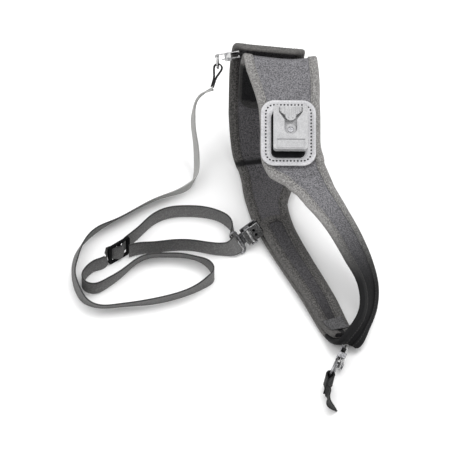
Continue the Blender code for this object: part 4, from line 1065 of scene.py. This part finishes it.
@dataclass
class PaddedLoop:
    """The three layers of the loop and the lining patch inside the crest."""

    loop: Loop

    def build(self) -> None:
        """Builds every layer."""
        laid, tab = self.loop.station(LAID_STATION), self.loop.station(TAB_STATION)
        tab_end, joint = tab + TAB_FROM_STATION, laid + JOINT_FROM_STATION

        def on_route(distance: Array) -> Array:
            return np.zeros_like(distance)

        def under_layer(distance: Array) -> Array:
            return -LAYER_PITCH - TAB_LIFT * eased(distance, tab_end - 55 * MM, tab_end)

        fabric, tape, dark_tape = PAD.material(), BINDING.material(), DARK_BINDING.material()
        seam = SeamTree("front_seam", FRONT_THREAD.material())
        dark_seam = SeamTree("dark_seam", DARK_THREAD.material())
        front = FrontLayer("front", self.loop, joint, 0.0, on_route)
        # Painted shade on the front's lower end, from station 11 to past station 14.
        front.painted_shade_from, front.painted_shade_to = self.loop.station(11), self.loop.station(14) + 8 * MM
        front.build(fabric, tape, seam)
        underarm = UnderarmLayer("underarm", self.loop, laid - LOBE_OVERLAP, tab_end, under_layer)
        underarm.inset, underarm.swell = (TAB_INSET_LEFT, TAB_INSET_RIGHT), 0.8 * MM
        underarm.build(fabric, dark_tape, dark_seam)
        back = BackLayer("back", self.loop, joint + JOINT_GAP, self.loop.band.length, on_route)
        back.crease, back.swell = self.loop.station(24) + 8 * MM, 1.0 * MM
        back.build(fabric, dark_tape, dark_seam)
        lining_rows = np.linspace(10 * MM, 48 * MM, 22)
        self.build_patch(front, "hook_lining", lining_rows, 2.5 * MM, LINING.material(), "lining")
        keeper_rows = np.linspace(laid - 2 * MM, laid + 19 * MM, 16)
        self.build_patch(underarm, "end_keeper", keeper_rows, 2.0 * MM, KEEPER.material(), "pad_fabric")
        self.build_cross_seams((front, back, underarm), seam, dark_seam)

    def build_cross_seams(
        self, layers: tuple[PaddedLayer, BackLayer, PaddedLayer], seam: SeamTree, dark_seam: SeamTree
    ) -> None:
        """Sews the seams across the front, back and underarm layers."""
        front, back, underarm = layers
        slanted = front.cross_seam(self.loop.station(9) + 4 * MM, Side.OUTER, slant=14 * MM, margin=10 * MM)
        piece = seam.sew("front_cross_seam", [slanted], 3.0 * MM, (2.1 * MM, 0.5 * MM, 0.4 * MM))
        stand_for(piece, ROOT_BODY, "pad_fabric")
        lines = [back.cross_seam(back.crease + 8 * MM, Side.INNER)]
        lines.append(underarm.cross_seam(self.loop.station(LAID_STATION) + 16 * MM, Side.INNER))
        lines.append(back.cross_seam(back.crease - 9 * MM, Side.INNER))
        piece = dark_seam.sew("inner_cross_seams", lines, 3.0 * MM, (2.1 * MM, 0.5 * MM, 0.4 * MM))
        stand_for(piece, ROOT_BODY, "lining")

    def build_patch(
        self, layer: PaddedLayer, node: str, rows: Array, margin: float, fabric: bpy.types.Material, slot: str
    ) -> None:
        """Builds a thin patch on the inner face of a layer.

        Args:
            layer: the layer that it is sewn to.
            node: the solid that it stands for.
            rows: the distances of its cross rows.
            margin: how far it stays inside the layer's edges.
            fabric: its material.
            slot: not used.
        """
        thick = 0.9 * MM
        rows = rows[:, None]
        share = np.linspace(0, 1, 26)
        left, right = margin - layer.half(rows, -1), layer.half(rows, 1) - margin
        across = left + share[None, :] * (right - left)
        base = -(BOUND_THICKNESS / 2 + 0.3 * MM)
        top, bottom = layer.point(rows, across, base), layer.point(rows, across, base - thick)
        rings = np.concatenate([top, bottom[:, ::-1]], axis=1)
        mesh = ring_mesh(f"{node}_patch", rings)
        flat = np.concatenate([across, across[:, ::-1]], axis=1)
        set_cloth_map(mesh, flat, np.broadcast_to(rows, flat.shape))
        for name in ("lined", "dark"):
            set_numbers(mesh, name, np.zeros(flat.shape))
        patch = new_piece(f"{node}_patch", mesh, fabric)
        stand_for(patch, ROOT_BODY, slot, node)
        LOG.info("%s patch", node)


# ----------------------------------------------------------------------------------------------- webbing


def strap_route(route: Sequence[tuple[tuple, Vec]]) -> tuple[list[Vec], list[Vec]]:
    """A strap's places and width directions in metres, with lying places raised to clear the surface.

    Args:
        route: places in millimetres with the direction of the width.

    Returns:
        The places and the directions.
    """
    places, sides = [], []
    for (x, y, z), lean in route:
        side = Vector(lean).normalized()
        height = z * MM if z is not None else WEBBING_WIDTH / 2 * side.z + 1.2 * MM
        places.append((x * MM - ORIGIN[0], y * MM - ORIGIN[1], height))
        sides.append(tuple(side))
    return places, sides


def webbing_profile(width: float, thickness: float) -> Array:
    """The cross-section of webbing: flat faces, a thin neck and corded edges."""
    half, thick = width / 2, thickness / 2
    corded = ((0.15 * MM, 0.55), (0.6 * MM, 1.0), (1.7 * MM, 1.0), (2.1 * MM, 0.82))
    upper = [(-half + in_from_edge, share * thick) for in_from_edge, share in corded]
    upper += [(-half * 0.5, 0.86 * thick), (0, 0.9 * thick)]
    upper += [(-a, b) for a, b in reversed(upper[:-1])]
    return np.array([(-half, 0.0)] + upper + [(half, 0.0)] + [(a, -b) for a, b in reversed(upper)])


@dataclass
class Ribbon:
    """A length of webbing along a band."""

    name: str
    band: Band
    width: float = WEBBING_WIDTH
    thickness: float = WEBBING_THICKNESS
    step: float = 1.6 * MM

    def build(self, material: bpy.types.Material, highlight_and_tone: Callable[[Array], Array]) -> bpy.types.Object:
        """Builds the webbing.

        Args:
            material: its fabric.
            highlight_and_tone: how light it is at a distance along it.

        Returns:
            The piece.
        """
        distance = np.linspace(0, self.band.length, int(self.band.length / self.step) + 2)
        profile = webbing_profile(self.width, self.thickness)
        rings = self.band.surface(distance[:, None], profile[None, :, 0], profile[None, :, 1])
        mesh = ring_mesh(self.name, rings)
        shape = rings.shape[:2]
        across = np.broadcast_to(profile[None, :, 0], shape)
        set_cloth_map(mesh, across, np.broadcast_to(distance[:, None], shape))
        set_numbers(mesh, "highlight_and_tone", np.broadcast_to(highlight_and_tone(distance)[:, None], shape))
        return new_piece(self.name, mesh, material)


@dataclass
class ChestStrap:
    """The long strap: it hangs from a clip, lies in loops, passes the tri-glide and goes round a bail."""

    fabric: bpy.types.Material

    def band(self) -> Band:
        """The strap's whole route."""
        heading = Vector((*GLIDE_HEADING, 0)).normalized()
        off = Vector((-heading.y, heading.x, 0))
        weave = []
        for along, out in GLIDE_WEAVE:
            spot = Vector((*GLIDE_CENTRE, 0)) + heading * along + off * out
            weave.append(((spot.x, spot.y, GLIDE_STRAP_HEIGHT), (0, 0, 1)))
        places, sides = strap_route(CHEST_ROUTE + tuple(weave) + LOOP_RUN_ROUTE)
        return Band(places, sides, samples=7000)

    def build(self) -> bpy.types.Object:
        band = self.band()

        # Painted highlight on the hanging part below the crest clip; the rest stays dark.
        def highlight_and_tone(distance: Array) -> Array:
            return 0.95 * (1 - eased(distance, 130 * MM, 250 * MM)) + 0.02

        strap = Ribbon("chest_strap_webbing", band).build(self.fabric, highlight_and_tone)
        stand_for(strap, ROOT_BODY, "webbing", "chest_strap")
        path = band.read(band.points, np.linspace(0, band.length, 360))
        LOG.info("chest strap: %.0f mm long", band.length / MM)
        return strap


@dataclass
class LegStrap:
    """The short tail below the lower clip. It lies still."""

    fabric: bpy.types.Material

    def build(self) -> bpy.types.Object:
        """Builds the tail."""
        places, sides = strap_route(LEG_STRAP_ROUTE)
        ribbon = Ribbon("leg_strap_webbing", Band(places, sides, 800), step=1.0 * MM)
        tail = ribbon.build(self.fabric, np.zeros_like)
        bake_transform(tail)
        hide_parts("leg_strap")
        return tail


# ----------------------------------------------------------------------------------------------- clips


@dataclass
class Clip:
    """A suspender-type clip: plated CAD pieces, a smooth wire bail, a webbing ring and a tab in its jaws."""

    name: str
    hinge: Vec
    towards: Vec
    across: Vec
    bail: float
    swing: float
    ring_bar: tuple[float, float] | None = None
    ring_tail: tuple[float, float] | None = None
    shaded: bool = False
    wire: float = 1.1 * MM
    bail_half: float = 13.2 * MM
    slot_half: float = 6.0 * MM

    def axes(self) -> Matrix:
        """The clip's own frame: x from the bail to the jaws, y across, z towards the lever."""
        along = Vector(self.towards).normalized()
        across = Vector(self.across)
        across = (across - along * across.dot(along)).normalized()
        place = Vector(self.hinge) * MM - Vector(ORIGIN)
        turned = Matrix((along, across, along.cross(across))).transposed().to_4x4()
        return Matrix.Translation(place) @ turned

    def build_bail(self, metal: bpy.types.Material) -> bpy.types.Object:
        """Builds the bent wire bail."""
        turn, length, half = 3 * MM, self.bail * MM, self.bail_half
        corners = [(0, 1 * MM - self.slot_half), (0, -half + turn)]
        for angle in (30, 60, 90):
            a = math.radians(angle)
            corners.append((-turn + turn * math.cos(a), -half + turn - turn * math.sin(a)))
        for angle in (0, 30, 60, 90):
            a = math.radians(angle)
            corners.append((turn - length - turn * math.sin(a), -half + turn - turn * math.cos(a)))
        run = corners + [(x, -y) for x, y in reversed(corners)]
        curve = bpy.data.curves.new(f"{self.name}_bail_wire", "CURVE")
        curve.dimensions = "3D"
        curve.bevel_depth = self.wire
        curve.bevel_resolution = 4
        curve.use_fill_caps = True
        spline = curve.splines.new("POLY")
        spline.points.add(len(run) - 1)
        for point, (x, y) in zip(spline.points, run):
            point.co = (x, y, 0, 1)
        guide = bpy.data.objects.new("guide", curve)
        bpy.context.scene.collection.objects.link(guide)
        mesh = evaluated_mesh(guide)
        bpy.data.objects.remove(guide, do_unlink=True)
        shape = bmesh.new()
        shape.from_mesh(mesh)
        bmesh.ops.remove_doubles(shape, verts=shape.verts, dist=0.001 * MM)
        bmesh.ops.recalc_face_normals(shape, faces=shape.faces)
        if shape.calc_volume(signed=True) < 0:
            bmesh.ops.reverse_faces(shape, faces=shape.faces)
        shape.transform(self.axes() @ Matrix.Rotation(math.radians(self.swing), 4, "Y"))
        shape.to_mesh(mesh)
        shape.free()
        mesh.shade_smooth()
        mesh.set_sharp_from_angle(angle=math.radians(60))
        piece = new_piece(f"{self.name}_bail_wire", mesh, metal)
        stand_for(piece, f"{self.name}_bail", "bright_metal", f"{self.name}_clip_bail")
        return piece

    def build_ring(self, webbing: bpy.types.Material) -> None:
        """Builds the webbing loop round the bail's bar, closing into a double-thick tail."""
        if self.ring_bar is None or self.ring_tail is None:
            return
        bar, tail = Vector(self.ring_bar) * MM, Vector(self.ring_tail) * MM
        direction = (tail - bar).normalized()
        length = (tail - bar).length
        radius = 4.15 * MM
        gap = 0.78 * MM
        turns = np.linspace(math.radians(75), math.radians(285), 15)
        arc = [(radius * math.cos(a), radius * math.sin(a)) for a in turns]
        blend_at = 0.58 * length
        line = [(length, gap), (0.8 * length, gap), (blend_at, gap + 0.15 * MM), (0.34 * length, 2.1 * MM)]
        plan = line + arc + [(x, -y) for x, y in reversed(line)]
        axes = self.axes()
        places, sides = [], []
        for x, y in plan:
            flat = (bar.x + x * direction.x - y * direction.y, bar.y + x * direction.y + y * direction.x)
            places.append(tuple(axes @ Vector((flat[0], 0, flat[1]))))
            sides.append(tuple(axes.to_3x3() @ Vector((0, 1, 0))))
        band = Band(places, sides, samples=1200)
        ribbon = Ribbon(f"{self.name}_ring_webbing", band, step=0.9 * MM)
        ring = ribbon.build(webbing, lambda d: np.full_like(d, 0.12))
        stand_for(ring, f"{self.name}_bail", "webbing", f"{self.name}_strap_ring")

    def build_tab(self, webbing: bpy.types.Material) -> None:
        """Builds the short webbing tab that the jaws bite."""
        low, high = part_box(f"{self.name}_clip_tab")
        axes = self.axes()
        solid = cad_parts[f"{self.name}_clip_tab"].data
        corners = [axes.inverted() @ Vector(v.co) for v in solid.vertices]
        xs, ys, zs = ([c[i] for c in corners] for i in range(3))
        middle = (min(zs) + max(zs)) / 2
        centre = (min(ys) + max(ys)) / 2
        places = [tuple(axes @ Vector((x, centre, middle))) for x in np.linspace(min(xs), max(xs), 5)]
        sides = [tuple(axes.to_3x3() @ Vector((0, 1, 0)))] * 5
        width = max(ys) - min(ys)
        tab = Ribbon(f"{self.name}_tab_webbing", Band(places, sides, 200), width=width, step=1 * MM)
        piece = tab.build(webbing, lambda d: np.full_like(d, 0.02))
        stand_for(piece, ROOT_BODY, "webbing", f"{self.name}_clip_tab")
        LOG.info("%s clip tab within %s to %s", self.name, tuple(low), tuple(high))

    def build(
        self, metals: Sequence[bpy.types.Material], pad: bpy.types.Material, webbing: bpy.types.Material
    ) -> None:
        """Builds the clip's own pieces and dresses its plates.

        Args:
            metals: the bright plating, the shaded plating and the pin's steel.
            pad: the rubber in the jaw.
            webbing: the fabric of the ring and the tab.
        """
        bright, shaded, steel = metals
        plate = shaded if self.shaded else bright
        for part, finish in (("frame", plate), ("lever", bright), ("pin", steel), ("jaw_pad", pad)):
            dress(f"{self.name}_clip_{part}", finish)
        self.build_bail(plate)
        self.build_ring(webbing)
        self.build_tab(webbing)
        LOG.info("%s clip", self.name)


def dress(node: str, material: bpy.types.Material) -> None:
    """Gives a carried-over CAD node its material."""
    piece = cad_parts[node]
    piece.data.materials.clear()
    piece.data.materials.append(material)


# ----------------------------------------------------------------------------------------------- dock


@dataclass
class Dock:
    """The sewn quick-release dock on the front layer."""

    loop: Loop
    shift: float = -1.8 * MM
    width: float = 57.5 * MM
    length: float = 71.0 * MM
    offset: float = -2.0 * MM
    radius: float = 14 * MM
    bottom: float = PANEL_THICKNESS / 2 + 2.2 * MM
    thickness: float = 1.8 * MM

    def axes(self) -> Matrix:
        """The dock's own frame: x sideways, y towards the crest, z out."""
        band, at = self.loop.band, np.array(self.loop.station(DOCK_STATION))
        side = Vector(band.read(band.sides, at)).normalized()
        normal = Vector(band.read(band.normals, at)).normalized()
        place = Vector(band.read(band.points, at)) + side * self.shift
        turned = Matrix((side, normal.cross(side), normal)).transposed().to_4x4()
        return Matrix.Translation(place) @ turned

    def outline(self, inset: float, steps: int = 12) -> Array:
        """A closed round-cornered outline inside the flange's edge."""
        radius = max(self.radius - inset, 1 * MM)
        points = []
        for across, along, first in ((1, 1, 0), (-1, 1, 90), (-1, -1, 180), (1, -1, 270)):
            x = across * (self.width / 2 - inset - radius)
            y = along * (self.length / 2 - inset - radius) + self.offset
            for step in range(steps + 1):
                angle = math.radians(first + 90 * step / steps)
                points.append((x + radius * math.cos(angle), y + radius * math.sin(angle)))
        return np.array(points)

    def build_flange(self, plastic: bpy.types.Material) -> bpy.types.Object:
        """Builds the flange with its rolled rim and its sunken sewing groove."""
        top = self.bottom + self.thickness
        rim = ((0.35 * MM, self.bottom), (0.0, self.bottom + 0.4 * MM))
        rim += ((0.0, top - 0.6 * MM), (0.25 * MM, top - 0.15 * MM), (0.8 * MM, top))
        groove = ((3.4 * MM, top), (3.9 * MM, top - 0.35 * MM), (6.4 * MM, top - 0.35 * MM), (6.9 * MM, top))
        inner = ((9.5 * MM, top + 0.05 * MM), (12.0 * MM, top))
        under = ((12.0 * MM, self.bottom + 0.1 * MM), (9.0 * MM, self.bottom))
        levels = rim + groove + inner + under
        rings = [np.column_stack([self.outline(inset), np.full(52, height)]) for inset, height in levels]
        rings = np.stack(rings)
        mesh = ring_mesh("dock_flange_rim", rings)
        shape = bmesh.new()
        shape.from_mesh(mesh)
        shape.transform(self.axes())
        bmesh.ops.recalc_face_normals(shape, faces=shape.faces)
        if shape.calc_volume(signed=True) < 0:
            bmesh.ops.reverse_faces(shape, faces=shape.faces)
        shape.to_mesh(mesh)
        shape.free()
        mesh.set_sharp_from_angle(angle=math.radians(50))
        flange = new_piece("dock_flange_rim", mesh, plastic)
        stand_for(flange, ROOT_BODY, "dock_flange", "dock_flange")
        return flange

    def build_stitches(self, seam: SeamTree) -> None:
        """Sews the dark lockstitches in the flange's groove."""
        ring = self.outline(5.1 * MM, 10)
        ring = np.vstack([ring, ring[:1]])
        height = self.bottom + self.thickness - 0.32 * MM
        axes = self.axes()
        points = np.array([tuple(axes @ Vector((x, y, height))) for x, y in ring])
        facing = np.tile(np.array(axes.to_3x3() @ Vector((0, 0, 1))), (len(points), 1))
        size = (2.3 * MM, 1.9 * MM, 0.6 * MM)
        stitches = seam.sew("dock_flange_stitches", [(points, facing)], 3.6 * MM, size)
        stand_for(stitches, ROOT_BODY, "dark_plastic")

    def build(self) -> None:
        """Builds the flange and dresses the dock's mouldings and metal."""
        dress("dock_body", DOCK.material())
        dress("dock_lever", DOCK.material())
        dress("dock_base", BLACK.material())
        dress("dock_seat", DOCK.material())
        dress("dock_screw", STEEL.material())
        for node in ("dock_lever_pin", "dock_lever_spring"):
            dress(node, STEEL.material())
        self.build_flange(FLANGE.material())
        self.build_stitches(SeamTree("dock_seam", DARK_THREAD.material()))
        LOG.info("dock")


# ----------------------------------------------------------------------------------------------- studio


@dataclass
class Studio:
    """A pale floor, soft light from above and a long lens."""

    target: Vec = (-73.35 * MM, 63.3 * MM, 0.0)
    elevation: float = 50.0
    span: float = 472.5 * MM
    distance: float = 8.0

    def build_floor(self) -> None:
        """Lays the floor."""
        graph = Graph("pale_floor")
        mottle = graph.noise(30.0, 2.0)
        material = graph.finish(graph.blend(mottle * 0.2, (0.93, 0.93, 0.93), (0.90, 0.90, 0.90)), 0.9)
        shape = bmesh.new()
        bmesh.ops.create_grid(shape, x_segments=2, y_segments=2, size=6.0)
        mesh = bpy.data.meshes.new("floor")
        shape.to_mesh(mesh)
        shape.free()
        new_piece("floor", mesh, material)

    def build_lights(self) -> None:
        """Sets the soft light of the room and two large lamps."""
        world = bpy.data.worlds.new("room")
        world.use_nodes = True
        nodes, links = world.node_tree.nodes, world.node_tree.links
        place, split = nodes.new("ShaderNodeTexCoord"), nodes.new("ShaderNodeSeparateXYZ")
        ramp = nodes.new("ShaderNodeMapRange")
        ramp.interpolation_type = "SMOOTHSTEP"
        for name, value in (("From Min", 0.12), ("From Max", 0.75), ("To Min", 0.10), ("To Max", 1.25)):
            ramp.inputs[name].default_value = value
        links.new(place.outputs["Generated"], split.inputs[0])
        links.new(split.outputs["Z"], ramp.inputs["Value"])
        links.new(ramp.outputs["Result"], nodes["Background"].inputs["Strength"])
        nodes["Background"].inputs["Color"].default_value = (1.0, 1.0, 1.0, 1.0)
        bpy.context.scene.world = world
        bpy.context.scene.view_settings.view_transform = "Standard"
        for name, place, size, power in (
            ("key_lamp", (0.45, 0.10, 1.6), 0.9, 12.0),
            ("fill_lamp", (-0.9, -0.6, 1.3), 1.2, 5.0),
        ):
            lamp = bpy.data.lights.new(name, "AREA")
            lamp.shape = "SQUARE"
            lamp.size = size
            lamp.energy = power
            thing = bpy.data.objects.new(name, lamp)
            thing.location = place
            thing.rotation_euler = (Vector((0, 0, 0.05)) - Vector(place)).to_track_quat("-Z", "Y").to_euler()
            bpy.context.scene.collection.objects.link(thing)

    def build_camera(self) -> None:
        """Sets the camera."""
        camera = bpy.data.cameras.new("camera")
        camera.sensor_width = 36.0
        camera.lens = 36.0 * self.distance / self.span
        camera.clip_end = 50.0
        rise = math.radians(self.elevation)
        view = Vector((0, -math.cos(rise), math.sin(rise)))
        thing = bpy.data.objects.new("camera", camera)
        thing.location = Vector(self.target) + view * self.distance
        thing.rotation_euler = (-view).to_track_quat("-Z", "Y").to_euler()
        bpy.context.scene.collection.objects.link(thing)
        bpy.context.scene.camera = thing

    def build(self) -> None:
        """Builds the room."""
        self.build_floor()
        self.build_lights()
        self.build_camera()


def main() -> None:
    """Builds the harness and its room."""
    logging.basicConfig(level=logging.INFO, format="%(name)s: %(message)s")
    Studio().build()
    webbing, dark_webbing = WEBBING.material(), DARK_WEBBING.material()
    steel, black = STEEL.material(), BLACK.material()
    metals = NICKEL.material(), SHADED_NICKEL.material(), steel
    ChestStrap(webbing).build()
    LegStrap(dark_webbing).build()
    loop = Loop()
    PaddedLoop(loop).build()
    Dock(loop).build()
    clips = (
        Clip(
            "crest", (-87.0, 157.0, 140.9), (0.985, 0.10, 0.13), (-0.02, -0.64, 0.77), 12, 85,
            ring_bar=(-1.0, 12.0), ring_tail=(-10.3, 31.0),
        ),
        Clip("side", (-62.6, 12.0, 14.5), (0.80, 0.54, 0.27), (-0.28, 0.40, 0.87), 7, 0, shaded=True),
        Clip(
            "lower", (34.4, -159.3, 14.9), (0.36, 0.93, 0.02), (0.14, -0.06, 0.98), 16, 0,
            ring_bar=(-16.0, 0.0), ring_tail=(-29.0, 1.0), shaded=True,
        ),
    )
    for clip in clips:
        clip.build(metals, black, dark_webbing)
    dress("tri_glide", black)


if __name__ == "__main__":
    main()
